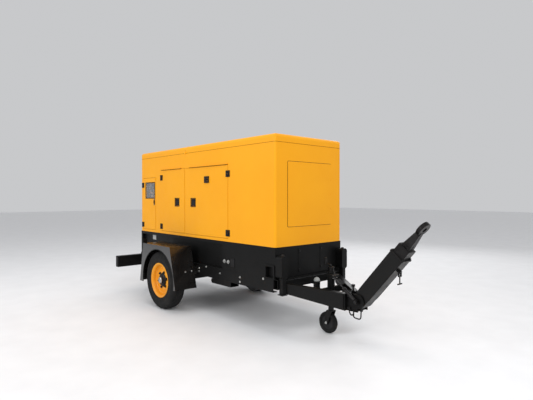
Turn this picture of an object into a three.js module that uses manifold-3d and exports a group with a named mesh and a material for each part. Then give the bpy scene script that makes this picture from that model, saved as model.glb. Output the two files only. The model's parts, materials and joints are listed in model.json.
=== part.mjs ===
// Towable diesel generator: a sound-proof canopy on a bunded base, carried by a single-axle
// trailer with a raised, height-adjustable drawbar.
// Millimetres. +Z is up, +X is the towing direction, +Y is the left side; the ground is z = 0.
// The canopy's front face is x = 0 while the pieces are made; at the end the whole group is
// moved so that its origin is the middle of its footprint.
import * as THREE from 'three';
import { mergeVertices } from 'three/addons/utils/BufferGeometryUtils.js';
import Module from 'manifold-3d';

const wasm = await Module();
wasm.setup();

// ---- Driving dimensions ----

const seatGap = 0.3; // between two pieces that touch
const doorGap = 4; // round a door in its opening
const sheet = 3; // canopy steel

const canopyLength = 3050;
const canopyWidth = 1080;
const wallHeight = 1110; // base top to the roof seam
const roofHeight = 90;
const roofRound = 45;
const cornerRound = 25;
const frameDepth = 60; // how far a door frame stands into the canopy

const baseHeight = 333;
const basePlate = 5;
const baseRecess = 40; // the rear part of each base side is set back by this
const basePanelLength = 930; // the flush part behind the front face
const baseRim = 40;
const tankHeight = 150;

const doorThick = 25;
const doorProud = 3;
const doorSill = 39; // base top to a door's lower edge
const doorHeight = 867;
const rearPost = 66; // rear face to the control door
const controlDoorWidth = 395;
const controlDoorHeight = 770;
const doorPost = 184; // between the control door and the rear door
const rearDoorWidth = 630;
const middlePost = 30;
const frontDoorWidth = 930;

const tyreRadius = 375;
const tyreWidth = 200;
const rimRadius = 229;
const axleFromRear = 1200;
const wheelOut = 250; // canopy side to the wheel's middle plane
const axleSize = 80;
const axleSeat = 48; // axle top to the rails

const railHeight = 140;
const railWidth = 60;
const railWall = 6;

const fenderOut = 367; // canopy side to the fender's outer face
const fenderIn = 56;
const fenderWall = 4;
const tyreClearance = 25;

const drawbarReach = 705; // canopy front to the drawbar pivot
const drawbarRaise = 49.5; // degrees above level
const armWidth = 140;
const armHeight = 156;
const armLength = 640;
const armWall = 6;
const pinRadius = 15;
const eyeRadius = 70;
const eyeHole = 25;
const eyeThick = 40;
const eyeReach = 990; // drawbar pivot to the eye's middle

const jockeyX = 300;
const jockeyRadius = 115;
const jockeyWidth = 60;
const mastRadius = 30;
const mastAbovePivot = 275;

const legSize = 50;
const legLift = 447; // the raised foot's height above the ground
const legHead = 90;

const fanRadius = 320;
const engineLength = 860;
const alternatorLength = 590;

// ---- Levels and places that follow from them ----

const half = canopyWidth / 2;
const rear = -canopyLength;
const wheelX = rear + axleFromRear;
const railBottom = tyreRadius + axleSize / 2 + axleSeat;
const railTop = railBottom + railHeight;
const baseTop = railTop + baseHeight;
const seam = baseTop + wallHeight;
const roofTop = seam + roofHeight;
const railFront = 36;
const crossDepth = 66;
const bumperDepth = 80;
const railRear = rear - 20;
const pivotZ = railBottom - 33;
const mastTop = pivotZ + mastAbovePivot;
const RIGHT = -1;
const LEFT = 1;

const controlX = rear + rearPost;
const rearDoorX = controlX + controlDoorWidth + doorPost;
const frontDoorX = rearDoorX + rearDoorWidth + middlePost;
const roofJoint = frontDoorX - middlePost / 2;
const doorBottom = baseTop + doorSill;
const tankTop = railTop + basePlate + 2 * seatGap + tankHeight;
const engineFloor = tankTop + seatGap;

// ---- Materials ----

const finish = (color, roughness, metalness) =>
  new THREE.MeshStandardMaterial({ color, roughness, metalness });
const yellow = finish(0xf5a70c, 0.4, 0.1);
const black = finish(0x17181a, 0.45, 0.2);
const gunmetal = finish(0x3b3e42, 0.5, 0.7);
const zinc = finish(0xb9bcc0, 0.35, 0.9);
const tyreRubber = finish(0x1b1b1c, 0.9, 0);
const castIron = finish(0x4a4d50, 0.7, 0.5);
const engineGreen = finish(0x3c5a4a, 0.6, 0.2);
const plastic = finish(0x202124, 0.6, 0);
const red = finish(0xc3241c, 0.4, 0);
const glass = finish(0x9fb2b8, 0.08, 0);
const aluminium = finish(0xaab0b4, 0.4, 0.9);

// ---- Solids ----

const { degToRad } = THREE.MathUtils;

// A three.js geometry as a manifold-3d solid, ready to be joined or cut.
function solid(geometry) {
  geometry.deleteAttribute('normal');
  geometry.deleteAttribute('uv');
  const merged = mergeVertices(geometry, 1e-4);
  const corners = merged.index.array;
  const triVerts = [];
  for (let i = 0; i < corners.length; i += 3) {
    const [a, b, c] = [corners[i], corners[i + 1], corners[i + 2]];
    if (a !== b && b !== c && c !== a) triVerts.push(a, b, c);
  }
  return new wasm.Manifold(
    new wasm.Mesh({
      numProp: 3,
      vertProperties: new Float32Array(merged.attributes.position.array),
      triVerts: new Uint32Array(triVerts),
    }),
  );
}

const join = (pieces) => pieces.reduce((all, piece) => all.add(piece));
const cut = (body, cutters) => cutters.reduce((left, cutter) => left.subtract(cutter), body);

// A box between two opposite corners, given in any order.
function box(x0, x1, y0, y1, z0, z1) {
  const size = [Math.abs(x1 - x0), Math.abs(y1 - y0), Math.abs(z1 - z0)];
  const geometry = new THREE.BoxGeometry(...size);
  geometry.translate((x0 + x1) / 2, (y0 + y1) / 2, (z0 + z1) / 2);
  return solid(geometry);
}

const axes = {
  x: new THREE.Vector3(1, 0, 0),
  y: new THREE.Vector3(0, 1, 0),
  z: new THREE.Vector3(0, 0, 1),
};

function shapeOf(outline) {
  if (outline instanceof THREE.Shape) return outline;
  return new THREE.Shape(outline.map(([a, b]) => new THREE.Vector2(a, b)));
}

function extruded(outline, depth, curveSegments) {
  return new THREE.ExtrudeGeometry(shapeOf(outline), {
    depth,
    bevelEnabled: false,
    curveSegments,
  });
}

// An outline in (y, z), drawn out along x.
function prismX(outline, x0, x1, curveSegments = 8) {
  const geometry = extruded(outline, x1 - x0, curveSegments);
  geometry.applyMatrix4(new THREE.Matrix4().makeBasis(axes.y, axes.z, axes.x));
  geometry.translate(x0, 0, 0);
  return solid(geometry);
}

// An outline in (x, z), drawn out along y.
function prismY(outline, y0, y1, curveSegments = 8) {
  const geometry = extruded(outline, y1 - y0, curveSegments);
  const back = axes.y.clone().negate();
  geometry.applyMatrix4(new THREE.Matrix4().makeBasis(axes.x, axes.z, back));
  geometry.translate(0, y1, 0);
  return solid(geometry);
}

// An outline in (x, y), drawn out along z.
function prismZ(outline, z0, z1, curveSegments = 8) {
  const geometry = extruded(outline, z1 - z0, curveSegments);
  geometry.translate(0, 0, z0);
  return solid(geometry);
}

// A cylinder along an axis, from one station to another, about the point (a, b) of the other two.
function rod(axis, radius, from, to, a, b, segments = 20) {
  const length = Math.abs(to - from);
  const middle = (from + to) / 2;
  const geometry = new THREE.CylinderGeometry(radius, radius, length, segments);
  if (axis === 'x') {
    geometry.rotateZ(Math.PI / 2);
    geometry.translate(middle, a, b);
  } else if (axis === 'y') {
    geometry.translate(a, middle, b);
  } else {
    geometry.rotateX(Math.PI / 2);
    geometry.translate(a, b, middle);
  }
  return solid(geometry);
}

// A round bar bent along points.
function bar(points, radius, steps = 10) {
  const path = new THREE.CatmullRomCurve3(points.map((p) => new THREE.Vector3(...p)));
  const section = new THREE.Shape().absarc(0, 0, radius, 0, 2 * Math.PI);
  return solid(
    new THREE.ExtrudeGeometry(section, {
      steps,
      curveSegments: 4,
      bevelEnabled: false,
      extrudePath: path,
    }),
  );
}

// A rectangle with each corner rounded.
function roundedRectangle(x0, x1, y0, y1, radius) {
  const shape = new THREE.Shape();
  shape.absarc(x1 - radius, y1 - radius, radius, 0, Math.PI / 2);
  shape.absarc(x0 + radius, y1 - radius, radius, Math.PI / 2, Math.PI);
  shape.absarc(x0 + radius, y0 + radius, radius, Math.PI, 1.5 * Math.PI);
  shape.absarc(x1 - radius, y0 + radius, radius, 1.5 * Math.PI, 2 * Math.PI);
  return shape;
}

// ---- The group ----

const generator = new THREE.Group();

function add(name, body, material, parent = generator, place = [0, 0, 0]) {
  const made = body.getMesh();
  const geometry = new THREE.BufferGeometry();
  geometry.setAttribute('position', new THREE.BufferAttribute(made.vertProperties, 3));
  geometry.setIndex(new THREE.BufferAttribute(made.triVerts, 1));
  geometry.computeVertexNormals();
  const mesh = new THREE.Mesh(geometry, material);
  mesh.name = name;
  mesh.position.set(...place);
  parent.add(mesh);
}

const sideName = (side) => (side === RIGHT ? 'right' : 'left');

// ---- Chassis ----

function rail(side) {
  const outer = side * half;
  const inner = side * (half - railWidth);
  const web = side * (half - railWall);
  const outline = [
    [outer, railBottom],
    [inner, railBottom],
    [inner, railBottom + railWall],
    [web, railBottom + railWall],
    [web, railTop - railWall],
    [inner, railTop - railWall],
    [inner, railTop],
    [outer, railTop],
  ];
  add(`rail_${sideName(side)}`, prismX(outline, railRear, railFront - crossDepth - seatGap), black);
}

function crossMembers() {
  const crossHeight = 103;
  const front = box(railFront - crossDepth, railFront, -half, half, railTop - crossHeight, railTop);
  const hollow = box(
    railFront - crossDepth + railWall,
    railFront - railWall,
    -half - 1,
    half + 1,
    railTop - crossHeight + railWall,
    railTop - railWall,
  );
  add('cross_member_front', front.subtract(hollow), black);

  const bumperBottom = railBottom - 63;
  const bumperTop = bumperBottom + 165;
  const bumperFront = railRear - seatGap;
  const bumperHalf = half + fenderOut + 3;
  const beam = box(
    bumperFront - bumperDepth, bumperFront, -bumperHalf, bumperHalf, bumperBottom, bumperTop,
  );
  const bore = box(
    bumperFront - bumperDepth + 5, bumperFront - 5,
    -bumperHalf - 1, bumperHalf + 1, bumperBottom + 5, bumperTop - 5,
  );
  add('bumper_beam', beam.subtract(bore), black);
}

// The two beams of the A-frame run from the front cross member to the drawbar head.
const beamWidth = 60;
const beamRootY = half - 110;
const beamEndY = 85;
const beamRootX = railFront + seatGap;
const headX = drawbarReach - 145;
const beamSlope = (beamRootY - beamEndY) / (headX - beamRootX);
const beamAngle = Math.atan(beamSlope);
const beamCentreY = (x) => beamRootY - (x - beamRootX) * beamSlope;
const beamInnerY = (x) => beamCentreY(x) - beamWidth / 2 / Math.cos(beamAngle);
const beamOuterY = (x) => beamCentreY(x) + beamWidth / 2 / Math.cos(beamAngle);

function drawbarBeam(side) {
  const rootBottom = railBottom - 3;
  const rootTop = railTop - 43;
  const endBottom = pivotZ - 110;
  const endTop = pivotZ + 60;
  const endX = headX - seatGap;
  const plan = [
    [beamRootX, side * beamInnerY(beamRootX)],
    [beamRootX, side * beamOuterY(beamRootX)],
    [endX, side * beamOuterY(endX)],
    [endX, side * beamInnerY(endX)],
  ];
  const profile = [
    [beamRootX - 1, rootBottom],
    [endX + 1, endBottom],
    [endX + 1, endTop],
    [beamRootX - 1, rootTop],
  ];
  const body = prismZ(plan, endBottom - 1, rootTop + 1).intersect(prismY(profile, -half, half));
  add(`drawbar_beam_${sideName(side)}`, body, black);
}

// The head joins the beams' ends and holds the drawbar's pivot pin between two ears.
const earThick = 12;
const earIn = armWidth / 2 + 5;
const headBottom = pivotZ - 110;
const headTop = pivotZ + 60;
const lockRadius = 9;
const bushX = headX + 30;

function drawbarHead() {
  const earRound = 70;
  const plateHalf = beamOuterY(headX);
  const plate = box(headX, headX + 15, -plateHalf, plateHalf, headBottom, headTop);
  const floor = box(headX, drawbarReach - 20, -earIn - 1, earIn + 1, headBottom, headBottom + 12);
  const ear = new THREE.Shape();
  ear.moveTo(headX + 1, headBottom);
  ear.lineTo(drawbarReach, headBottom);
  ear.absarc(drawbarReach, pivotZ, earRound, -Math.PI / 2, Math.PI / 2);
  ear.lineTo(headX + 1, headTop);
  const ears = [RIGHT, LEFT].map((side) =>
    prismY(ear, Math.min(side * earIn, side * (earIn + earThick)),
      Math.max(side * earIn, side * (earIn + earThick)), 10));
  const pinHalf = earIn + earThick + 38;
  const pin = rod('y', pinRadius, -pinHalf, pinHalf, drawbarReach, pivotZ);
  // A lock-pin bush on the back of the head.
  const bushOuter = rod('z', 17, headTop - 40, headTop + 20, bushX, 0);
  const bushWeb = box(headX + 1, bushX, -8, 8, headTop - 40, headTop);
  const bushBore = rod('z', lockRadius + seatGap, headTop - 60, headTop + 40, bushX, 0);
  const body = join([plate, floor, ...ears, pin, bushOuter, bushWeb]).subtract(bushBore);
  add('drawbar_head', body, black);
}

function lockPin() {
  const shaft = rod('z', lockRadius, headTop - 40, headTop + 62, bushX, 0);
  const knob = rod('z', 19, headTop + 60, headTop + 84, bushX, 0);
  add('lock_pin', shaft.add(knob), gunmetal);
}

// A stay from the jockey mast's clamp to the pivot pin, on the right.
const stayY = -(earIn + earThick + 24);
const stayTop = { x: jockeyX + 116, z: pivotZ + 209, pin: 6, half: 8 };

function stay() {
  const along = (t) => [
    stayTop.x + (drawbarReach - stayTop.x) * t,
    stayY,
    stayTop.z + (pivotZ - stayTop.z) * t,
  ];
  const eye = (x, z, radius) => rod('y', radius, stayY - stayTop.half, stayY + stayTop.half, x, z);
  const bore = (x, z, radius) => rod('y', radius + seatGap, stayY - 20, stayY + 20, x, z);
  const thin = bar([along(0.035), along(0.5)], 8, 1);
  const thick = bar([along(0.46), along(0.93)], 19, 1);
  const body = join([thin, thick, eye(stayTop.x, stayTop.z, 14), eye(drawbarReach, pivotZ, 27)]);
  const bores = [
    bore(stayTop.x, stayTop.z, stayTop.pin),
    bore(drawbarReach, pivotZ, pinRadius),
  ];
  add('support_strut', cut(body, bores), gunmetal);
}

// ---- Jockey wheel ----

const clampBottom = pivotZ + 10;
const clampTop = pivotZ + 234;

function jockeyClamp() {
  const barHalfDepth = 22;
  const [barX0, barX1] = [jockeyX - barHalfDepth, jockeyX + barHalfDepth];
  const reach = (x) => beamInnerY(x) - seatGap;
  const plan = [
    [barX0, -reach(barX0)],
    [barX1, -reach(barX1)],
    [barX1, reach(barX1)],
    [barX0, reach(barX0)],
  ];
  const cross = prismZ(plan, clampBottom, clampBottom + 60);
  const sleeve = rod('z', mastRadius + 10, clampBottom, clampTop, jockeyX, 0, 24);
  const bolt = rod('x', 8, jockeyX + mastRadius + 2, jockeyX + mastRadius + 52, 0, clampTop - 60);
  // The post on the clamp's front right carries the strut's upper end on a pin.
  const postIn = stayY + stayTop.half + seatGap;
  const arm = box(jockeyX + 20, stayTop.x, postIn, -8, stayTop.z - 12, stayTop.z + 12);
  const post = box(stayTop.x - 12, stayTop.x + 12, postIn, postIn + 20, stayTop.z - 14, stayTop.z + 14);
  const pin = rod('y', stayTop.pin, stayY - stayTop.half - 4, postIn + 1, stayTop.x, stayTop.z);
  const bore = rod('z', mastRadius + seatGap, clampBottom - 1, clampTop + 1, jockeyX, 0, 24);
  const body = join([cross, sleeve, bolt, arm, post, pin]).subtract(bore);
  add('jockey_clamp', body, black);
}

function jockey() {
  const trail = 38;
  const wheelPlace = [jockeyX - trail, 0, jockeyRadius];
  const cheekGap = 4;
  const forkTop = 2 * jockeyRadius + 22;
  const mastBottom = forkTop + seatGap;
  const mast = rod('z', mastRadius, mastBottom, mastTop, jockeyX, 0, 24);
  const socket = rod('z', 13, mastBottom - 1, mastBottom + 40, jockeyX, 0, 16);
  add('jockey_mast', mast.subtract(socket), zinc);

  const cheekIn = jockeyWidth / 2 + cheekGap;
  const cheekWall = 5;
  const cheek = [
    [wheelPlace[0] - 16, jockeyRadius - 16],
    [wheelPlace[0] + 16, jockeyRadius - 16],
    [jockeyX + 34, forkTop - 8],
    [jockeyX + 34, forkTop],
    [jockeyX - 34, forkTop],
    [wheelPlace[0] - 16, jockeyRadius + 40],
  ];
  const cheeks = [RIGHT, LEFT].map((side) => {
    const [a, b] = [side * cheekIn, side * (cheekIn + cheekWall)];
    return prismY(cheek, Math.min(a, b), Math.max(a, b));
  });
  const crown = box(jockeyX - 34, jockeyX + 34, -cheekIn - 1, cheekIn + 1, forkTop - 7, forkTop);
  const spigot = rod('z', 13 - seatGap, forkTop - 1, forkTop + 36, jockeyX, 0, 16);
  const spindle = rod('y', 8, -cheekIn - 12, cheekIn + 12, wheelPlace[0], jockeyRadius, 16);
  add('jockey_fork', join([...cheeks, crown, spigot, spindle]), zinc);

  const hub = 20;
  const bore = 8 + seatGap;
  const tyreHalf = jockeyWidth / 2;
  const profile = [
    [bore, -cheekIn + seatGap],
    [hub, -cheekIn + seatGap],
    [hub, -12],
    [jockeyRadius - 40, -12],
    [jockeyRadius - 36, -tyreHalf],
    [jockeyRadius - 12, -tyreHalf],
    [jockeyRadius, -tyreHalf + 14],
    [jockeyRadius, tyreHalf - 14],
    [jockeyRadius - 12, tyreHalf],
    [jockeyRadius - 36, tyreHalf],
    [jockeyRadius - 40, 12],
    [hub, 12],
    [hub, cheekIn - seatGap],
    [bore, cheekIn - seatGap],
  ];
  add('jockey_wheel', turned(profile, 24), tyreRubber, generator, wheelPlace);

  const capTop = mastTop + 12;
  const cap = rod('z', mastRadius + 4, mastTop + seatGap, capTop, jockeyX, 0, 20);
  const throwX = 75;
  const handle = bar(
    [
      [jockeyX, 0, capTop - 6],
      [jockeyX, 0, capTop + 16],
      [jockeyX - 12, 0, capTop + 22],
      [jockeyX - throwX, 0, capTop + 22],
    ],
    7,
  );
  const grip = rod('z', 12, capTop + 12, capTop + 92, jockeyX - throwX, 0, 16);
  add('jockey_crank', join([cap, handle, grip]), zinc);
}

// A closed profile in (radius, y), turned about the y axis.
function turned(profile, segments) {
  const points = profile.map(([r, y]) => new THREE.Vector2(r, y));
  return solid(new THREE.LatheGeometry([...points, points[0]], segments));
}

// ---- Drawbar arm ----

const drawbar = new THREE.Group();
drawbar.position.set(drawbarReach, 0, pivotZ);
drawbar.rotation.y = -degToRad(drawbarRaise);
generator.add(drawbar);

const rodPivot = { x: armLength - 115, z: -armHeight / 2 - 17, pin: 5 };

function drawbarArm() {
  const round = armHeight / 2 - 4;
  const side = new THREE.Shape();
  side.moveTo(armLength, -armHeight / 2);
  side.lineTo(armLength, armHeight / 2);
  side.lineTo(0, round);
  side.absarc(0, 0, round, Math.PI / 2, 1.5 * Math.PI);
  const outer = prismY(side, -armWidth / 2, armWidth / 2, 10);
  const hollow = box(
    round + armWall,
    armLength + 1,
    -armWidth / 2 + armWall,
    armWidth / 2 - armWall,
    -armHeight / 2 + armWall + 2,
    armHeight / 2 - armWall - 2,
  );
  const bore = rod('y', pinRadius + seatGap, -armWidth, armWidth, 0, 0);
  const lug = box(rodPivot.x - 13, rodPivot.x + 13, -16, 16, rodPivot.z - 12, -armHeight / 2 + 4);
  const lugBore = rod('y', rodPivot.pin + seatGap, -20, 20, rodPivot.x, rodPivot.z, 12);
  add('drawbar_arm', cut(outer.add(lug), [hollow, bore, lugBore]), black, drawbar);
}

function towingEye() {
  const flange = box(armLength + seatGap, armLength + 18, -76, 76, -84, 84);
  const blockEnd = armLength + 118;
  const block = box(armLength + 17, blockEnd, -62, 62, -66, 66);
  const neckEnd = eyeReach - 50;
  const neck = [
    [blockEnd - 1, -46],
    [neckEnd + 10, -24],
    [neckEnd + 10, 24],
    [blockEnd - 1, 46],
  ];
  const neckSide = prismY(neck, -60, 60);
  const neckPlan = prismZ(neck, -60, 60);
  const ring = rod('z', eyeRadius, -eyeThick / 2, eyeThick / 2, eyeReach, 0, 32);
  const hole = rod('z', eyeHole, -eyeThick, eyeThick, eyeReach, 0, 24);
  const body = join([flange, block, neckSide.intersect(neckPlan), ring]).subtract(hole);
  add('towing_eye', body, gunmetal, drawbar);
}

// A short rod with a T foot hangs from the arm's lug by its own weight.
function hangingRod() {
  const group = new THREE.Group();
  group.position.set(rodPivot.x, 0, rodPivot.z);
  group.rotation.y = degToRad(drawbarRaise);
  drawbar.add(group);
  const cheeks = [RIGHT, LEFT].map((side) => {
    const [a, b] = [side * (16 + seatGap), side * 21];
    return box(-9, 9, a, b, -40, 9);
  });
  const pin = rod('y', rodPivot.pin, -21, 21, 0, 0, 12);
  const bridge = box(-9, 9, -21, 21, -45, -38);
  const shank = rod('z', 6, -44, -110, 0, 0, 12);
  const foot = rod('y', 7, -34, 34, 0, -112, 12);
  add('breakaway_rod', join([...cheeks, pin, bridge, shank, foot]), zinc, group);
}

// A U-shaped clamp handle under the head's right ear.
function clampLever() {
  const hubY = -(earIn + earThick + seatGap);
  const [x, z] = [headX + 55, headBottom + 28];
  const boss = rod('y', 14, hubY, hubY - 16, x, z, 20);
  const loop = bar(
    [
      [x, hubY - 10, z],
      [x + 8, hubY - 12, z - 45],
      [x + 30, hubY - 12, z - 62],
      [x + 52, hubY - 12, z - 45],
      [x + 52, hubY - 12, z - 12],
    ],
    7,
    14,
  );
  add('clamp_lever', boss.add(loop), zinc);
}

// ---- Running gear ----

const wheelY = half + wheelOut;
const spindleRadius = 30;
const wheelFacets = 32;
const hubBack = wheelY - 70;

function axle() {
  const beamHalf = hubBack - 12;
  const square = axleSize / 2;
  const tube = box(wheelX - square, wheelX + square, -beamHalf, beamHalf,
    tyreRadius - square, tyreRadius + square);
  const spindle = rod('y', spindleRadius, -wheelY, wheelY, wheelX, tyreRadius);
  const seats = [RIGHT, LEFT].map((side) =>
    box(wheelX - 90, wheelX + 90, side * half, side * (half - railWidth),
      tyreRadius + square - 1, railBottom - seatGap));
  add('axle', join([tube, spindle, ...seats]), black);
}

// A tyre and a dished rim on the spindle; the profiles are (radius, distance outward).
function wheel(side) {
  const place = [wheelX, side * wheelY, tyreRadius];
  const w = tyreWidth / 2;
  const bead = rimRadius - 12;
  const out = (profile) => profile.map(([r, y]) => [r, side * y]);
  const closed = (profile) => (side === LEFT ? out(profile) : out(profile).reverse());
  const tyre = [
    [bead + seatGap, -w + 22],
    [rimRadius + 22, -w + 6],
    [rimRadius + 70, -w],
    [tyreRadius - 34, -w + 10],
    [tyreRadius - 10, -w + 26],
    [tyreRadius, -w + 52],
    [tyreRadius, w - 52],
    [tyreRadius - 10, w - 26],
    [tyreRadius - 34, w - 10],
    [rimRadius + 70, w],
    [rimRadius + 22, w - 6],
    [bead + seatGap, w - 22],
  ];
  add(`tyre_${sideName(side)}`, turned(closed(tyre), wheelFacets), tyreRubber, generator, place);

  const back = hubBack - wheelY;
  const bore = spindleRadius + seatGap;
  const rim = [
    [0, 62],
    [0, 4],
    [bore, 4],
    [bore, back],
    [70, back],
    [76, 6],
    [150, 6],
    [185, -10],
    [195, -w + 34],
    [bead, -w + 24],
    [bead, w - 24],
    [bead - 14, w - 30],
    [bead - 24, 30],
    [160, 22],
    [120, 34],
    [66, 34],
    [62, 62],
  ];
  const rimBody = turned(closed(rim), wheelFacets);
  const boltCircle = 102;
  const bolts = Array.from({ length: 6 }, (_, i) => {
    const angle = (i * Math.PI) / 3;
    return rod('y', 11, side * 20, side * 46,
      boltCircle * Math.cos(angle), boltCircle * Math.sin(angle), 6);
  });
  add(`rim_${sideName(side)}`, join([rimBody, ...bolts]), yellow, generator, place);
}

function fender(side) {
  const outer = half + fenderOut;
  const inner = half + fenderIn;
  const low = tyreRadius - 66;
  const top = 2 * tyreRadius + 84;
  const frontLow = wheelX + tyreRadius + 75;
  const frontTop = wheelX + tyreRadius - 59;
  const rearTop = wheelX - tyreRadius - 25;
  const rearLow = wheelX - tyreRadius - 121;
  const outline = [
    [rearLow, low],
    [frontLow, low],
    [frontTop, top],
    [rearTop, top],
  ];
  const t = fenderWall;
  const inside = [
    [rearLow + t, low - 1],
    [frontLow - t, low - 1],
    [frontTop - t, top - t],
    [rearTop + t, top - t],
  ];
  const sorted = (a, b) => [Math.min(side * a, side * b), Math.max(side * a, side * b)];
  const shell = prismY(outline, ...sorted(inner, outer));
  const hollow = prismY(inside, ...sorted(inner - 1, outer - t));
  const arch = rod('y', tyreRadius + tyreClearance, side * (outer - 2 * t), side * (outer + 1),
    wheelX, tyreRadius, 48);
  // Brackets reach from the fender's front and rear plates to the rail.
  const bracketEnd = half + seatGap;
  const bracketTop = railTop - 20;
  const bracketLow = railBottom + 20;
  const bracket = (x0, x1) =>
    box(x0, x1, side * bracketEnd, side * (inner + 40), bracketLow, bracketTop);
  const body = join([cut(shell, [hollow, arch]),
    bracket(frontLow - 50, frontLow - 34), bracket(rearLow + 36, rearLow + 52)]);
  add(`fender_${sideName(side)}`, body, black);
}

// The brake's air tank lies across the chassis, hung from the base by two straps.
function airTank() {
  const radius = 105;
  const [x, z] = [-670, railBottom - 12];
  const halfLength = 290;
  const dome = 45;
  const profile = [
    [0, -halfLength - dome],
    [radius * 0.7, -halfLength - dome * 0.6],
    [radius, -halfLength],
    [radius, halfLength],
    [radius * 0.7, halfLength + dome * 0.6],
    [0, halfLength + dome],
  ];
  const strap = (y) => {
    const band = rod('y', radius + 5, y - 20, y + 20, x, z, 20);
    const hanger = box(x - 50, x + 50, y - 20, y + 20, z, railTop);
    return band.add(hanger);
  };
  const tank = turned(profile, 20).translate([x, 0, z]);
  add('air_tank', join([tank, strap(-190), strap(190)]), black);
}

const swingLegLength = 400;

// A steady leg folds up under each rail and swings down about its round rear end.
const swingLegFromRear = 1920;

function swingLeg(side) {
  const width = 120;
  const radius = 30;
  const wall = 6;
  const pivotX = rear + swingLegFromRear;
  const z = railBottom - seatGap - radius;
  const endX = pivotX + swingLegLength - radius;
  const outline = new THREE.Shape();
  outline.moveTo(pivotX, z - radius);
  outline.lineTo(endX, z - radius);
  outline.lineTo(endX, z + radius);
  outline.lineTo(pivotX, z + radius);
  outline.absarc(pivotX, z, radius, Math.PI / 2, 1.5 * Math.PI);
  const low = side === LEFT ? half - width : -half;
  const tube = prismY(outline, low, low + width, 6);
  const hollow = box(pivotX + radius, endX + 1, low + wall, low + width - wall,
    z - radius + wall, z + radius - wall);
  add(`swing_leg_${sideName(side)}`, tube.subtract(hollow), black);
}

// ---- Front stabiliser legs ----

const legX = 65;
const legHeadLow = railTop + 17;
const legHeadTop = baseTop - 82;
const legTop = legHeadTop - 12;
const toSide = (side, body) => (side === LEFT ? body : mirrored(body, 1));

// The head is welded to the base's front face; the leg slides in its square bore.
function legHeadBody(side) {
  const y0 = half - legHead;
  const round = 36;
  const chamfer = 20;
  const shape = new THREE.Shape();
  shape.moveTo(y0 + chamfer, legHeadLow);
  shape.lineTo(half - chamfer, legHeadLow);
  shape.lineTo(half, legHeadLow + chamfer);
  shape.absarc(half - round, legHeadTop - round, round, 0, Math.PI / 2);
  shape.absarc(y0 + round, legHeadTop - round, round, Math.PI / 2, Math.PI);
  shape.lineTo(y0, legHeadLow + chamfer);
  return toSide(side, prismX(shape, -1, 98));
}

function legBore(side) {
  const legY = half - legHead / 2;
  const slack = legSize / 2 + seatGap;
  return toSide(side, box(legX - slack, legX + slack, legY - slack, legY + slack,
    legHeadLow - 1, legTop + 4));
}

function frontLeg(side) {
  const legY = half - legHead / 2;
  const s = legSize / 2;
  const footHalf = 38;
  const leg = box(legX - s, legX + s, legY - s, legY + s, legLift + 4, legTop);
  const foot = box(legX - footHalf, legX + footHalf, legY - footHalf, legY + footHalf,
    legLift, legLift + 8);
  add(`front_leg_${sideName(side)}`, toSide(side, leg.add(foot)), black);
}

// The same body on the other side of the plane at 0 of one axis: 0 is x and 1 is y.
function mirrored(body, axis) {
  const made = body.getMesh();
  const vertProperties = made.vertProperties.map((value, i) => (i % 3 === axis ? -value : value));
  const triVerts = made.triVerts.slice();
  for (let i = 0; i < triVerts.length; i += 3) {
    [triVerts[i + 1], triVerts[i + 2]] = [triVerts[i + 2], triVerts[i + 1]];
  }
  return new wasm.Manifold(new wasm.Mesh({ numProp: 3, vertProperties, triVerts }));
}

// ---- Base and fuel tank ----

const pocket = { fromFront: 82, size: 150, hole: 116, z: 70 };

function base() {
  const bottom = railTop + seatGap;
  const top = baseTop;
  const setBack = half - baseRecess;
  const body = join([
    box(-basePanelLength, 0, -half, half, bottom, top),
    box(rear, -basePanelLength + 1, -setBack, setBack, bottom, top),
    box(rear, -basePanelLength + 1, -half, half, top - baseRim, top),
    box(rear, rear + baseRim, -half, half, bottom, top),
  ]);
  const inside = setBack - basePlate;
  const tray = box(rear + basePlate, -basePlate, -inside, inside, bottom + basePlate, top + 1);
  // A square tie-down pocket near the front of each side.
  const pockets = [RIGHT, LEFT].map((side) =>
    box(-pocket.fromFront - pocket.hole / 2, -pocket.fromFront + pocket.hole / 2,
      side * (half + 20), side * (half - 34),
      railTop + pocket.z - pocket.hole / 2, railTop + pocket.z + pocket.hole / 2));
  const frames = [RIGHT, LEFT].map((side) =>
    box(-pocket.fromFront - pocket.size / 2, -pocket.fromFront + pocket.size / 2,
      side * (half - 10), side * (half + 10),
      railTop + pocket.z - pocket.size / 2 + 10, railTop + pocket.z + pocket.size / 2));
  const heads = [RIGHT, LEFT].map(legHeadBody);
  const bores = [RIGHT, LEFT].map(legBore);
  add('base_tray', cut(join([body, ...frames, ...heads]), [tray, ...pockets, ...bores]), black);
}

const capRadius = 36;
const fillerX = rear + 1700;
const fillerY = -(half - 130);
const fillerTop = baseTop - 40;

function fuelTank() {
  const inset = 10;
  const inside = half - baseRecess - basePlate - inset;
  const bottom = railTop + basePlate + 2 * seatGap;
  const [x0, x1] = [rear + basePlate + inset, -basePlate - inset];
  const neckBore = 25;
  const tank = box(x0, x1, -inside, inside, bottom, tankTop);
  const neck = rod('z', neckBore + 5, tankTop - 1, fillerTop, fillerX, fillerY);
  const bore = rod('z', neckBore, fillerTop - 60, fillerTop + 1, fillerX, fillerY);
  add('fuel_tank', tank.add(neck).subtract(bore), plastic);

  const cap = rod('z', capRadius, fillerTop + seatGap, fillerTop + 24, fillerX, fillerY);
  const plug = rod('z', neckBore - 3 * seatGap, fillerTop - 16, fillerTop + 1, fillerX, fillerY);
  const grip = box(fillerX - 28, fillerX + 28, fillerY - 6, fillerY + 6, fillerTop + 23, fillerTop + 36);
  add('fuel_cap', join([cap, plug, grip]), red);
}

// ---- Canopy walls ----

const wallBottom = baseTop + seatGap;
const wallTop = seam - seatGap;

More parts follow.
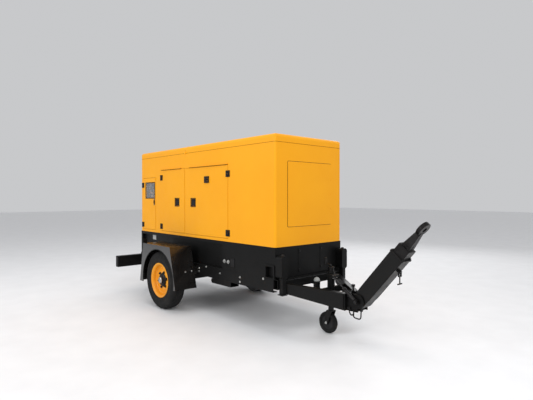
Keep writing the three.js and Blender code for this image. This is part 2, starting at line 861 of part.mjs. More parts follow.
// An end wall wraps round both vertical corners; facing is +1 at the front and -1 at the rear.
function endWall(name, faceX, facing) {
  const plan = (inset, extra) => {
    const r = cornerRound - inset;
    const shape = new THREE.Shape();
    const [x, y] = [faceX - facing * cornerRound, half - cornerRound];
    const start = facing > 0 ? 0 : Math.PI;
    const turn = facing > 0 ? Math.PI / 2 : -Math.PI / 2;
    shape.moveTo(x - facing * extra, -half + inset);
    shape.lineTo(x, -half + inset);
    shape.absarc(x, -y, r, start - turn, start, facing < 0);
    shape.absarc(x, y, r, start, start + turn, facing < 0);
    shape.lineTo(x - facing * extra, half - inset);
    return shape;
  };
  const outer = prismZ(plan(0, 0), wallBottom, wallTop);
  const inner = prismZ(plan(sheet, 1), wallBottom - 1, wallTop + 1);
  add(name, outer.subtract(inner), yellow);
}

function frontCover() {
  const coverHalf = 358;
  const low = wallBottom + 209;
  const high = low + 702;
  const outline = roundedRectangle(-coverHalf, coverHalf, low, high, 14);
  add('front_cover', prismX(outline, seatGap, 5 + seatGap, 4), yellow);
}

const doors = [
  {
    name: 'front_door', sides: [RIGHT, LEFT], x: frontDoorX, width: frontDoorWidth,
    height: doorHeight, hinge: 1, latch: 185, gutter: [98, 0],
  },
  {
    name: 'rear_door', sides: [RIGHT, LEFT], x: rearDoorX, width: rearDoorWidth,
    height: doorHeight, hinge: -1, latch: 192, gutter: [0, 87],
  },
  {
    name: 'control_door', sides: [RIGHT], x: controlX, width: controlDoorWidth,
    height: controlDoorHeight, hinge: -1, latch: 0, gutter: null,
  },
];

// A hinge has one leaf on the door and one on the wall, and its pin's axis stands proud of both.
const hinge = { height: 75, leaf: 28, plate: 3, knuckle: 5.2, out: 8.5, low: 62, high: 104 };
const hingeAxis = (door) => (door.hinge > 0 ? door.x + door.width + 2 : door.x - 2);
const hingeLevels = (door) => [
  doorBottom + hinge.low,
  doorBottom + door.height - hinge.high,
];

// towards is +1 when the leaf lies on the +x side of the pin.
function hingeLeaf(door, level, towards, part, side) {
  const axis = hingeAxis(door);
  const face = half + (part === 'door' ? doorProud : 0);
  const centreY = half + hinge.out;
  const [z0, z1] = part === 'door'
    ? [level + seatGap, level + hinge.height / 2]
    : [level - hinge.height / 2, level];
  const leaf = box(axis + towards * 9, axis + towards * (9 + hinge.leaf),
    side * (face - 1), side * (face + hinge.plate),
    level - hinge.height / 2, level + hinge.height / 2);
  const web = box(axis, axis + towards * 10, side * (centreY - 3), side * (centreY + 1), z0, z1);
  const rise = box(axis + towards * 8, axis + towards * 13,
    side * (face - 1), side * (centreY + 1), z0, z1);
  const knuckle = rod('z', hinge.knuckle, z0, z1, axis, side * centreY, 8);
  return join([leaf, web, rise, knuckle]);
}

function sideWall(side) {
  const mine = doors.filter((door) => door.sides.includes(side));
  const x0 = rear + cornerRound + seatGap;
  const x1 = -cornerRound - seatGap;
  const skin = box(x0, x1, side * half, side * (half - sheet), wallBottom, wallTop);
  const opening = (door, grow, y0, y1) =>
    box(door.x - doorGap - grow, door.x + door.width + doorGap + grow, side * y0, side * y1,
      doorBottom - doorGap - grow, doorBottom + door.height + doorGap + grow);
  const frames = mine.map((door) => opening(door, sheet, half - 1, half - frameDepth));
  const holes = mine.map((door) => opening(door, 0, half + 1, half - frameDepth - 1));
  const gutters = mine.filter((door) => door.gutter).map((door) =>
    box(door.x + door.gutter[0], door.x + door.width - door.gutter[1],
      side * (half - 1), side * (half + 13),
      doorBottom + door.height + doorGap + 4, doorBottom + door.height + doorGap + 14));
  const leaves = mine.flatMap((door) =>
    hingeLevels(door).map((level) => hingeLeaf(door, level, door.hinge, 'wall', side)));
  add(`side_wall_${sideName(side)}`,
    join([cut(join([skin, ...frames]), holes), ...gutters, ...leaves]), yellow);
}

// ---- Doors ----

const latchSize = 104;
const latchLevel = doorBottom + 415;
const latchDepth = 12;
const latchPlateHalf = 46;

const latchX = (door) =>
  (door.hinge > 0 ? door.x + door.latch : door.x + door.width - door.latch);

const stop = { inward: 430, level: 705, width: 90, height: 80, proud: 12, radius: 18 };
const stopX = frontDoorX + frontDoorWidth - stop.inward;
const stopZ = doorBottom + stop.level;
const faceY = half + doorProud;

const pane = {
  x0: controlX + 89, x1: controlX + controlDoorWidth - 22,
  z0: doorBottom + 470, z1: doorBottom + 697, thick: 5,
};
const lock = { x: controlX + controlDoorWidth - 36, z: doorBottom + 410, radius: 12 };

function doorBody(door, side) {
  const slab = box(door.x, door.x + door.width, side * faceY, side * (faceY - doorThick),
    doorBottom, doorBottom + door.height);
  const leaves = hingeLevels(door).map((level) => hingeLeaf(door, level, -door.hinge, 'door', side));
  const cuts = [];
  if (door.latch) {
    const r = latchSize / 2;
    cuts.push(box(latchX(door) - r, latchX(door) + r, side * (faceY + 1), side * (faceY - latchDepth),
      latchLevel - r, latchLevel + r));
  }
  const extras = [];
  if (door.name === 'front_door' && side === RIGHT) {
    extras.push(box(stopX - stop.width / 2, stopX + stop.width / 2,
      side * (faceY - 1), side * (faceY + stop.proud),
      stopZ - stop.height / 2, stopZ + stop.height / 2));
    cuts.push(rod('y', stop.radius, side * (faceY - 12), side * (faceY + 20), stopX, stopZ));
  }
  if (door.name === 'control_door') {
    cuts.push(box(pane.x0, pane.x1, side * (faceY + 1), side * (faceY - doorThick - 1),
      pane.z0, pane.z1));
    cuts.push(rod('y', lock.radius + seatGap, side * (faceY + 1), side * (faceY - doorThick - 1),
      lock.x, lock.z, 20));
  }
  return cut(join([slab, ...leaves, ...extras]), cuts);
}

function paddle(door, side) {
  const half = latchSize / 2 - seatGap;
  const x = latchX(door);
  return box(x - half, x + half, side * (faceY - 2), side * (faceY - 10),
    latchLevel - latchPlateHalf, latchLevel + latchPlateHalf);
}

function makeDoors() {
  doors.forEach((door) =>
    door.sides.forEach((side) => {
      const name = door.sides.length > 1 ? `${door.name}_${sideName(side)}` : door.name;
      add(name, doorBody(door, side), yellow);
      if (door.latch) add(`${name}_latch`, paddle(door, side), black);
    }));

  const button = rod('y', stop.radius - seatGap, -(faceY - 6), -(faceY + stop.proud + 6),
    stopX, stopZ);
  add('emergency_stop', button, red);

  const paneBody = box(pane.x0 + seatGap, pane.x1 - seatGap, -(faceY - 4), -(faceY - 4 - pane.thick),
    pane.z0 + seatGap, pane.z1 - seatGap);
  add('control_window', paneBody, glass);

  const barrel = rod('y', lock.radius, -(faceY + 3), -(faceY - doorThick), lock.x, lock.z, 20);
  const tab = box(lock.x - 5, lock.x + 5, -(faceY + 2), -(faceY + 12), lock.z - 11, lock.z + 11);
  add('control_door_lock', barrel.add(tab), black);
}

// ---- Roof ----

// A roof section is a shell with rounded upper edges and one rounded end; the other end is
// square and meets the other section at the joint.
function roofSection(name, joint, end) {
  const length = Math.abs(end - joint) - seatGap;
  const low = seam;
  const z = roofTop - roofRound;
  const shell = (inset, floor) => {
    const r = roofRound - inset;
    const across = new THREE.Shape();
    across.moveTo(-half + inset, floor);
    across.lineTo(half - inset, floor);
    across.absarc(half - roofRound, z, r, 0, Math.PI / 2);
    across.absarc(-half + roofRound, z, r, Math.PI / 2, Math.PI);
    const along = new THREE.Shape();
    along.moveTo(inset, floor);
    along.lineTo(length - inset, floor);
    along.absarc(length - roofRound, z, r, 0, Math.PI / 2);
    along.lineTo(inset, roofTop - inset);
    const corner = [length - cornerRound, half - cornerRound];
    const plan = new THREE.Shape();
    plan.moveTo(inset, -half + inset);
    plan.lineTo(corner[0], -half + inset);
    plan.absarc(corner[0], -corner[1], cornerRound - inset, -Math.PI / 2, 0);
    plan.absarc(corner[0], corner[1], cornerRound - inset, 0, Math.PI / 2);
    plan.lineTo(inset, half - inset);
    return prismX(across, inset, length, 6)
      .intersect(prismY(along, -half, half, 6))
      .intersect(prismZ(plan, floor, roofTop, 6));
  };
  const body = shell(0, low).subtract(shell(sheet, low - 1));
  const way = Math.sign(end - joint);
  add(name, way > 0 ? body : mirrored(body, 0), yellow, generator, [joint + way * seatGap, 0, 0]);
}

// ---- Machinery under the canopy ----

const shaftZ = engineFloor + 400;
const cabinet = { depth: 440, width: 195, low: doorBottom + 5, high: doorBottom + 775 };
const alternatorX = rear + 700;
const engineX = alternatorX + alternatorLength + seatGap;
const fanX = -440;
const fanThick = 50;
const radiatorX = fanX + fanThick + 60;

function alternator() {
  const end = alternatorX + alternatorLength;
  const drum = rod('x', 210, alternatorX + 60, end, 0, shaftZ - 60, 24);
  const bell = rod('x', 150, alternatorX, alternatorX + 61, 0, shaftZ - 60, 24);
  const feet = [RIGHT, LEFT].map((side) =>
    box(alternatorX + 150, end - 120, side * 120, side * 220, engineFloor, shaftZ - 60));
  const terminalBox = box(alternatorX + 120, alternatorX + 380, -150, 150, shaftZ + 60, shaftZ + 220);
  add('alternator', join([drum, bell, ...feet, terminalBox]), castIron);
}

function engine() {
  const end = engineX + engineLength;
  const flywheel = rod('x', 220, engineX, engineX + 90, 0, shaftZ - 60, 24);
  const block = box(engineX + 60, end - 60, -165, 165, shaftZ - 200, shaftZ + 180);
  const head = box(engineX + 90, end - 80, -110, 110, shaftZ + 170, shaftZ + 330);
  const sump = box(engineX + 120, end - 120, -130, 130, shaftZ - 310, shaftZ - 190);
  const gearCase = box(end - 70, end, -150, 150, shaftZ - 180, shaftZ + 160);
  const shaft = rod('x', 32, end - 10, fanX - seatGap, 0, shaftZ);
  const feet = [RIGHT, LEFT].flatMap((side) =>
    [engineX + 130, end - 190].map((x) =>
      box(x, x + 80, side * 150, side * 250, engineFloor, shaftZ - 150)));
  add('engine', join([flywheel, block, head, sump, gearCase, shaft, ...feet]), engineGreen);
}

function fan() {
  const hub = rod('x', 60, fanX, fanX + fanThick, 0, shaftZ, 24);
  const bladeCount = 6;
  const blades = Array.from({ length: bladeCount }, (_, i) => {
    const blade = new THREE.BoxGeometry(6, fanRadius - 50, 95);
    blade.rotateY(degToRad(28));
    blade.translate(0, (fanRadius + 50) / 2, 0);
    blade.rotateX((2 * Math.PI * i) / bladeCount);
    blade.translate(fanX + fanThick / 2, 0, shaftZ);
    return solid(blade);
  });
  add('radiator_fan', join([hub, ...blades]), plastic);
}

function radiator() {
  const [x0, x1] = [radiatorX, radiatorX + 90];
  const wide = half - 130;
  const core = box(x0, x1, -wide, wide, engineFloor, shaftZ + fanRadius + 120);
  const shroud = rod('x', fanRadius + 34, x0 - 46, x0 + 1, 0, shaftZ, 32);
  const window = rod('x', fanRadius + 26, x0 - 47, x0 - 4, 0, shaftZ, 32);
  const filler = rod('z', 28, shaftZ + fanRadius + 119, shaftZ + fanRadius + 160, (x0 + x1) / 2, 0, 20);
  add('radiator', join([core.add(shroud).subtract(window), filler]), aluminium);
}

function muffler() {
  const radius = 100;
  const [x, z] = [-150, wallTop - 150];
  const can = rod('y', radius, -330, 330, x, z, 20);
  const outlet = rod('z', 32, z + 40, wallTop - 20, x, 220, 20);
  const brackets = [-200, 200].map((y) =>
    box(x, -sheet - seatGap, y - 20, y + 20, z - 30, z + 30));
  add('muffler', join([can, outlet, ...brackets]), castIron);
}

function airFilter() {
  const [x0, x1] = [engineX + 230, engineX + 610];
  const saddleLow = shaftZ + 330 + seatGap;
  const z = saddleLow + 110;
  const can = rod('x', 90, x0, x1, 0, z, 20);
  const saddle = box(x0 + 80, x1 - 80, -50, 50, saddleLow, z);
  add('air_filter', can.add(saddle), plastic);
}

function battery() {
  const [x0, y0] = [rear + 110, 180];
  const size = [260, 175, 200];
  const body = box(x0, x0 + size[0], y0, y0 + size[1], engineFloor, engineFloor + size[2]);
  const posts = [40, size[0] - 40].map((x) =>
    rod('z', 9, engineFloor + size[2] - 1, engineFloor + size[2] + 16, x0 + x, y0 + 40, 12));
  add('battery', join([body, ...posts]), plastic);
}

function controlPanel() {
  const face = -(half - frameDepth - 8);
  const x0 = rear + sheet + seatGap;
  const body = box(x0, x0 + cabinet.depth, face, face + cabinet.width, cabinet.low, cabinet.high);
  const knobs = [0, 1, 2].map((i) =>
    rod('y', 14, face - 16, face + 1, pane.x0 + 60 + i * 70, pane.z0 + 50, 16));
  const screen = box(pane.x0 + 60, pane.x1 - 60, face - 6, face + 1, pane.z0 + 100, pane.z1 - 26);
  add('control_panel', join([body, ...knobs, screen]), plastic);
}

// ---- Assembly ----

[RIGHT, LEFT].forEach((side) => {
  rail(side);
  drawbarBeam(side);
  swingLeg(side);
  frontLeg(side);
  wheel(side);
  fender(side);
  sideWall(side);
});
crossMembers();
drawbarHead();
lockPin();
stay();
jockeyClamp();
jockey();
drawbarArm();
towingEye();
hangingRod();
clampLever();
axle();
airTank();
base();
fuelTank();
endWall('front_wall', 0, 1);
endWall('rear_wall', rear, -1);
frontCover();
roofSection('roof_front', roofJoint, 0);
roofSection('roof_rear', roofJoint, rear);
makeDoors();
alternator();
engine();
fan();
radiator();
muffler();
airFilter();
battery();
controlPanel();

// The origin is the middle of the footprint, on the ground.
generator.updateMatrixWorld(true);
const footprint = new THREE.Box3().setFromObject(generator, true);
generator.position.x = -(footprint.min.x + footprint.max.x) / 2;

export default generator;
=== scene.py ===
"""Looks of the towable diesel generator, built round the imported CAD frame.

Metres, in the row frame: +X is the towing direction, +Y the left side, +Z up, ground at z = 0.
"""

import json
import math
import random

import bmesh
import bpy
from mathutils import Matrix, Vector


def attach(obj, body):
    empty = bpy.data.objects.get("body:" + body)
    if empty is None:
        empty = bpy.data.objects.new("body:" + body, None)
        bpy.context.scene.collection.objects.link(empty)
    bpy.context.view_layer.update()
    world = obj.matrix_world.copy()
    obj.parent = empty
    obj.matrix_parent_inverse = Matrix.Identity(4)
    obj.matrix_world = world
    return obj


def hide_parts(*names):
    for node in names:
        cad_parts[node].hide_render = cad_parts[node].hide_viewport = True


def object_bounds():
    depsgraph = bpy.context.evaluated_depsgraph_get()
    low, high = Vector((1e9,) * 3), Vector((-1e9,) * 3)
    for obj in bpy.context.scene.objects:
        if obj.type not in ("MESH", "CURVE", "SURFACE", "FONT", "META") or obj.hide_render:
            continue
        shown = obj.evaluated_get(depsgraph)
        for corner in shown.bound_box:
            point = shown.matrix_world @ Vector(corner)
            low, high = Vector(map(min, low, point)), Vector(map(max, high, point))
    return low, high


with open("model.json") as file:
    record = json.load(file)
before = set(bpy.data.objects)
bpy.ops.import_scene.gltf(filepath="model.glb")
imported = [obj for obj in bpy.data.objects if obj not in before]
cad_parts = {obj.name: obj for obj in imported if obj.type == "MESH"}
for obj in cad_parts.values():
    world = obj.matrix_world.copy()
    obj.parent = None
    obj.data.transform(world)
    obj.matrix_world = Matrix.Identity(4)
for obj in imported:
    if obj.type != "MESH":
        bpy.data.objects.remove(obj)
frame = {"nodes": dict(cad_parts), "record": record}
cad_low, cad_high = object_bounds()
nodes = frame["nodes"]
random.seed(4)

RIGHT, LEFT = -1, 1
BOTH = (RIGHT, LEFT)
SIDES = {"right": RIGHT, "left": LEFT}
MM = 0.001


# ---- Camera, floor and light ----

SENSOR = 36.0  # millimetres, with the lens
LENS = 29.1107
EYE = Vector((4.130, -3.605, 1.475))
HEADING = Vector((-0.742, 0.670, 0.0))
PITCH = math.radians(-0.53)
LIT_POINT = Vector((0, 0, 1.0))
LIGHTS = {  # place, width and height, watts
    "key": ((6.5, -3.0, 5.0), (4.0, 3.0), 215),
    "side": ((-2.0, -8.0, 4.5), (6.0, 3.0), 250),
    "top": ((0, 0, 8.0), (7.0, 5.0), 200),
    "back": ((-2.0, 7.0, 4.5), (5.0, 3.0), 115),
}
SKY = (0.93, 0.94, 0.96, 1)
SKY_STRENGTH = 0.62
FLOOR_DROP = 0.001  # keeps the floor clear of the tyres' lowest points


def make_camera():
    data = bpy.data.cameras.new("camera")
    data.sensor_width = SENSOR
    data.lens = LENS
    camera = bpy.data.objects.new("camera", data)
    bpy.context.scene.collection.objects.link(camera)
    camera.location = EYE
    look = HEADING.normalized()
    look.z = math.tan(PITCH)
    camera.rotation_euler = look.to_track_quat("-Z", "Y").to_euler()
    bpy.context.scene.camera = camera


def area_light(name, place, size, watts):
    data = bpy.data.lights.new(name, "AREA")
    data.shape = "RECTANGLE"
    data.size, data.size_y = size
    data.energy = watts
    lamp = bpy.data.objects.new(name, data)
    bpy.context.scene.collection.objects.link(lamp)
    lamp.location = place
    lamp.rotation_euler = (LIT_POINT - Vector(place)).to_track_quat("-Z", "Y").to_euler()


def make_lights():
    for name, (place, size, watts) in LIGHTS.items():
        area_light(name, place, size, watts)
    bpy.context.scene.view_settings.view_transform = "Standard"
    world = bpy.data.worlds.new("studio")
    bpy.context.scene.world = world
    world.use_nodes = True
    background = world.node_tree.nodes["Background"]
    background.inputs["Color"].default_value = SKY
    background.inputs["Strength"].default_value = SKY_STRENGTH


def make_floor():
    bm = bmesh.new()
    bmesh.ops.create_grid(bm, x_segments=2, y_segments=2, size=40)
    mesh = bpy.data.meshes.new("studio_floor")
    bm.to_mesh(mesh)
    bm.free()
    floor = bpy.data.objects.new("studio_floor", mesh)
    bpy.context.scene.collection.objects.link(floor)
    floor.location.z = -FLOOR_DROP
    shade = Shade("studio_floor_paint")
    grain = shade.noise(3.0, 4)
    shade.colour(shade.ramp(grain, [(0.3, (0.80, 0.80, 0.81)), (0.7, (0.84, 0.84, 0.85))]))
    shade.set("Roughness", 0.6)
    mesh.materials.append(shade.material)


# ---- Procedural materials ----


class Shade:
    """A Principled material with short calls for the nodes that feed it."""

    def __init__(self, name):
        self.material = bpy.data.materials.new(name)
        self.material.use_nodes = True
        self.tree = self.material.node_tree
        self.shader = self.tree.nodes["Principled BSDF"]
        self.coords = self.tree.nodes.new("ShaderNodeTexCoord").outputs["Object"]

    def node(self, kind, **values):
        made = self.tree.nodes.new(kind)
        for key, value in values.items():
            setattr(made, key, value)
        return made

    def link(self, output, socket):
        self.tree.links.new(output, socket)

    def set(self, socket, value):
        self.shader.inputs[socket].default_value = value

    def noise(self, scale, detail=5, stretch=None, distortion=0.0):
        made = self.node("ShaderNodeTexNoise")
        made.inputs["Scale"].default_value = scale
        made.inputs["Detail"].default_value = detail
        made.inputs["Distortion"].default_value = distortion
        source = self.coords
        if stretch:
            mapping = self.node("ShaderNodeMapping")
            mapping.inputs["Scale"].default_value = stretch
            self.link(self.coords, mapping.inputs["Vector"])
            source = mapping.outputs["Vector"]
        self.link(source, made.inputs["Vector"])
        return made.outputs["Fac"]

    def cells(self, scale, feature="F1"):
        made = self.node("ShaderNodeTexVoronoi", feature=feature)
        made.inputs["Scale"].default_value = scale
        self.link(self.coords, made.inputs["Vector"])
        return made.outputs["Distance"]

    def waves(self, scale, direction="Z", profile="SIN"):
        made = self.node("ShaderNodeTexWave", bands_direction=direction, wave_profile=profile)
        made.inputs["Scale"].default_value = scale
        self.link(self.coords, made.inputs["Vector"])
        return made.outputs["Fac"]

    def ramp(self, value, stops):
        made = self.node("ShaderNodeValToRGB")
        points = made.color_ramp.elements
        while len(points) < len(stops):
            points.new(0.5)
        for point, (place, colour) in zip(points, stops):
            point.position = place
            point.color = (*colour, 1)
        self.link(value, made.inputs["Fac"])
        return made.outputs["Color"]

    def grey(self, value, low, high, to_low, to_high):
        made = self.node("ShaderNodeMapRange", clamp=True)
        sockets = [low, high, to_low, to_high]
        for name, number in zip(["From Min", "From Max", "To Min", "To Max"], sockets):
            made.inputs[name].default_value = number
        self.link(value, made.inputs["Value"])
        return made.outputs["Result"]

    def maths(self, operation, first, second):
        made = self.node("ShaderNodeMath", operation=operation, use_clamp=True)
        for socket, value in zip(made.inputs, (first, second)):
            if isinstance(value, (int, float)):
                socket.default_value = value
            else:
                self.link(value, socket)
        return made.outputs["Value"]

    def mix(self, factor, first, second):
        made = self.node("ShaderNodeMix", data_type="RGBA")
        sockets = [socket for socket in made.inputs if socket.type == "RGBA"]
        self.link(factor, made.inputs["Factor"])
        for socket, value in zip(sockets, (first, second)):
            if isinstance(value, tuple):
                socket.default_value = (*value, 1)
            else:
                self.link(value, socket)
        return next(out for out in made.outputs if out.type == "RGBA")

    def colour(self, output):
        self.link(output, self.shader.inputs["Base Color"])

    def roughness(self, output):
        self.link(output, self.shader.inputs["Roughness"])

    def bump(self, height, depth, strength=1.0):
        made = self.node("ShaderNodeBump")
        made.inputs["Strength"].default_value = strength
        made.inputs["Distance"].default_value = depth
        self.link(height, made.inputs["Height"])
        self.link(made.outputs["Normal"], self.shader.inputs["Normal"])

    def upward(self):
        """1 on faces that look up, 0 on the rest."""
        geometry = self.node("ShaderNodeNewGeometry")
        split = self.node("ShaderNodeSeparateXYZ")
        self.link(geometry.outputs["Normal"], split.inputs["Vector"])
        return self.grey(split.outputs["Z"], 0.5, 0.95, 0.0, 1.0)

    def height(self, low, high):
        """0 at the lower height and 1 at the upper one, in metres."""
        split = self.node("ShaderNodeSeparateXYZ")
        self.link(self.coords, split.inputs["Vector"])
        return self.grey(split.outputs["Z"], low, high, 0.0, 1.0)


DUST = (0.42, 0.38, 0.32)


def painted(name, base, shadow, rough, dust=0.25, coat=0.0, shine=0.5):
    """Sprayed enamel: slow drifts of tone, fine orange peel, dust on top and near the ground."""
    shade = Shade(name)
    drift = shade.noise(1.7, 4)
    tone = shade.ramp(drift, [(0.3, shadow), (0.62, base)])
    specks = shade.noise(38, 8)
    low = shade.maths("SUBTRACT", 1.0, shade.height(0.05, 0.95))
    film = shade.maths("MULTIPLY", shade.grey(specks, 0.42, 0.75, 0.0, dust), low)
    top = shade.maths("MULTIPLY", shade.grey(specks, 0.3, 0.8, 0.0, dust), shade.upward())
    dirt = shade.maths("ADD", film, top)
    shade.colour(shade.mix(dirt, tone, DUST))
    fine = shade.noise(9, 6)
    shade.roughness(shade.grey(fine, 0.3, 0.7, rough - 0.06, rough + 0.09))
    shade.bump(shade.noise(420, 2), 0.00012)
    shade.set("Specular IOR Level", shine)
    if coat:
        shade.set("Coat Weight", coat)
        shade.set("Coat Roughness", 0.12)
    return shade.material


def bare_metal(name, base, shadow, rough, grain=(1, 1, 1), pits=0.00025):
    """Plated or forged metal with fine grain and darker stains."""
    shade = Shade(name)
    stain = shade.noise(14, 7, distortion=0.4)
    shade.colour(shade.ramp(stain, [(0.32, shadow), (0.6, base)]))
    shade.set("Metallic", 0.85)
    streaks = shade.noise(60, 6, stretch=grain)
    shade.roughness(shade.grey(streaks, 0.3, 0.7, rough - 0.08, rough + 0.12))
    shade.bump(shade.noise(260, 4, stretch=grain), pits)
    return shade.material


def rubber(name, base, dusty, rough=0.82):
    shade = Shade(name)
    patch = shade.noise(11, 7)
    shade.colour(shade.ramp(patch, [(0.38, base), (0.75, dusty)]))
    shade.roughness(shade.grey(shade.noise(40, 5), 0.3, 0.7, rough - 0.1, rough + 0.08))
    shade.bump(shade.noise(520, 3), 0.00035)
    shade.set("Specular IOR Level", 0.22)
    return shade.material


def moulded(name, base, shadow, rough=0.5):
    """Injection-moulded plastic with a fine spark-eroded grain."""
    shade = Shade(name)
    shade.colour(shade.ramp(shade.noise(5, 5), [(0.3, shadow), (0.65, base)]))
    shade.roughness(shade.grey(shade.noise(30, 4), 0.3, 0.7, rough - 0.06, rough + 0.08))
    shade.bump(shade.cells(900), 0.00012)
    shade.set("Specular IOR Level", 0.25)
    return shade.material


def clear_pane(name):
    shade = Shade(name)
    smear = shade.noise(6, 6, stretch=(1, 1, 0.3))
    shade.colour(shade.ramp(smear, [(0.3, (0.80, 0.84, 0.86)), (0.7, (0.92, 0.94, 0.95))]))
    shade.roughness(shade.grey(smear, 0.3, 0.7, 0.03, 0.12))
    shade.set("Transmission Weight", 0.9)
    shade.set("IOR", 1.45)
    return shade.material


def finned(name):
    """A radiator core: close upright fins over a dusty dark core."""
    shade = Shade(name)
    fins = shade.waves(90, "Y")
    shade.colour(shade.ramp(fins, [(0.2, (0.02, 0.02, 0.022)), (0.7, (0.24, 0.25, 0.26))]))
    shade.set("Metallic", 0.7)
    shade.roughness(shade.grey(shade.noise(20, 5), 0.3, 0.7, 0.4, 0.62))
    shade.bump(fins, 0.0015)
    return shade.material


YELLOW = painted("yellow_enamel", (0.90, 0.385, 0.006), (0.87, 0.36, 0.005), 0.42, 0.012, 0.06,
                 shine=0.2)
RIM_YELLOW = painted("wheel_enamel", (0.85, 0.35, 0.006), (0.78, 0.27, 0.004), 0.4, 0.06, 0.1,
                     shine=0.3)
BLACK = painted("black_enamel", (0.0062, 0.006, 0.0058), (0.004, 0.004, 0.004), 0.34, 0.007, 0.05,
                0.15)
GLOSS_BLACK = painted("fender_enamel", (0.0075, 0.0065, 0.006), (0.005, 0.0045, 0.004), 0.2, 0.02,
                      0.7, 0.45)
FRAME_BLACK = painted("chassis_enamel", (0.0055, 0.0055, 0.0055), (0.0035, 0.0035, 0.0035), 0.42,
                      0.008, 0.0, 0.13)
PANEL_TAN = painted("panel_enamel", (0.50, 0.235, 0.10), (0.40, 0.18, 0.075), 0.45, 0.02)
# Dark amber for painted shadow: the shade under the roof edge, at the roof joint and under the
# gutters.
SEAM_SHADOW_PAINT = painted("seam_painted_shadow", (0.30, 0.11, 0.004), (0.24, 0.08, 0.003), 0.7, 0.02, 0.0, 0.1)
FORGED = bare_metal("forged_steel", (0.020, 0.019, 0.019), (0.010, 0.009, 0.009), 0.36)
ZINC = bare_metal("zinc_plate", (0.55, 0.55, 0.53), (0.30, 0.30, 0.29), 0.34)
DARK_ZINC = bare_metal("dark_plate", (0.035, 0.035, 0.036), (0.018, 0.018, 0.018), 0.4)
TYRE = rubber("tyre_rubber", (0.0075, 0.0075, 0.0075), (0.016, 0.0155, 0.015))
SEAL = rubber("seal_rubber", (0.008, 0.008, 0.009), (0.018, 0.018, 0.018), 0.7)
PLASTIC = moulded("black_moulding", (0.0065, 0.006, 0.006), (0.004, 0.004, 0.004))
RED = moulded("red_moulding", (0.50, 0.02, 0.012), (0.38, 0.012, 0.008), 0.35)
AMBER = moulded("amber_lens", (0.80, 0.22, 0.01), (0.65, 0.15, 0.01), 0.2)
PALE = moulded("pale_plate", (0.42, 0.43, 0.42), (0.34, 0.35, 0.34), 0.45)
CASTING = bare_metal("machine_casting", (0.10, 0.105, 0.11), (0.05, 0.052, 0.055), 0.6, pits=0.0006)
ENGINE = painted("engine_enamel", (0.045, 0.11, 0.075), (0.03, 0.07, 0.05), 0.5, 0.1)
PANE = clear_pane("clear_pane")
CORE = finned("radiator_core")


# ---- Mesh pieces: sizes in millimetres, in the part's own frame ----

BUMPER_REAR = -3150.3  # the rearmost point, which ties the part's frame to the row frame
SHIFT = cad_low[0] / MM - BUMPER_REAR


def at(x, y, z):
    """A place in the part's frame, in millimetres, as a point of the row frame."""
    return Vector((x + SHIFT, y, z)) * MM


def to_axis(axis, along, a, b):
    """A station along an axis and the other two coordinates, in x, y, z order."""
    return {"x": (along, a, b), "y": (a, along, b), "z": (a, b, along)}[axis]


def prism(bm, outline, axis, start, end):
    """A closed outline, drawn out along an axis between two stations."""
    rings = [[bm.verts.new(at(*to_axis(axis, s, a, b))) for a, b in outline] for s in (start, end)]
    bm.faces.new(rings[0])
    bm.faces.new(reversed(rings[1]))
    count = len(outline)
    for i in range(count):
        j = (i + 1) % count
        bm.faces.new((rings[0][i], rings[0][j], rings[1][j], rings[1][i]))


def block(bm, x0, x1, y0, y1, z0, z1):
    prism(bm, [(x0, y0), (x1, y0), (x1, y1), (x0, y1)], "z", z0, z1)


def surround(bm, outer, inner, y0, y1):
    """Four bars between two rectangles, each given as x0, x1, z0, z1."""
    for x0, x1, z0, z1 in ((outer[0], outer[1], inner[3], outer[3]),
                           (outer[0], outer[1], outer[2], inner[2]),
                           (outer[0], inner[0], inner[2], inner[3]),
                           (inner[1], outer[1], inner[2], inner[3])):
        block(bm, x0, x1, y0, y1, z0, z1)


def lathe(bm, profile, axis, centre, segments=48, turn=0.0):
    """A (radius, station) profile turned about an axis through centre = (a, b)."""
    rings = []
    for radius, station in profile:
        if radius == 0:
            rings.append([bm.verts.new(at(*to_axis(axis, station, *centre)))])
            continue
        ring = []
        for i in range(segments):
            angle = turn + 2 * math.pi * i / segments
            a = centre[0] + radius * math.cos(angle)
            b = centre[1] + radius * math.sin(angle)
            ring.append(bm.verts.new(at(*to_axis(axis, station, a, b))))
        rings.append(ring)
    for low, high in zip(rings, rings[1:]):
        for i in range(segments):
            j = (i + 1) % segments
            if len(low) == 1 and len(high) == 1:
                continue
            if len(low) == 1:
                bm.faces.new((low[0], high[i], high[j]))
            elif len(high) == 1:
                bm.faces.new((low[i], low[j], high[0]))
            else:
                bm.faces.new((low[i], low[j], high[j], high[i]))


def turned(bm, profile, side, centre, segments, start=0, turn=0.0):
    """A lathe across the object, with its profile mirrored on the right side."""
    lathe(bm, [(r, side * (start + y)) for r, y in profile], "y", centre, segments, turn)


def sleeve(inner, outer, start, end):
    """A square-edged ring's profile, or a rod's where inner is 0."""
    points = [(inner, start), (outer, start), (outer, end), (inner, end)]
    return points + points[:1] if inner else points


def rounded(x0, x1, y0, y1, radius, steps=5):
    """A rectangle's outline with rounded corners."""
    centres = [(x1 - radius, y1 - radius), (x0 + radius, y1 - radius),
               (x0 + radius, y0 + radius), (x1 - radius, y0 + radius)]
    points = []
    for quarter, (cx, cy) in enumerate(centres):
        for i in range(steps + 1):
            angle = (quarter + i / steps) * math.pi / 2
            points.append((cx + radius * math.cos(angle), cy + radius * math.sin(angle)))
    return points


HEX_CORNER = 1.155  # a hexagon's corner radius over its flat radius


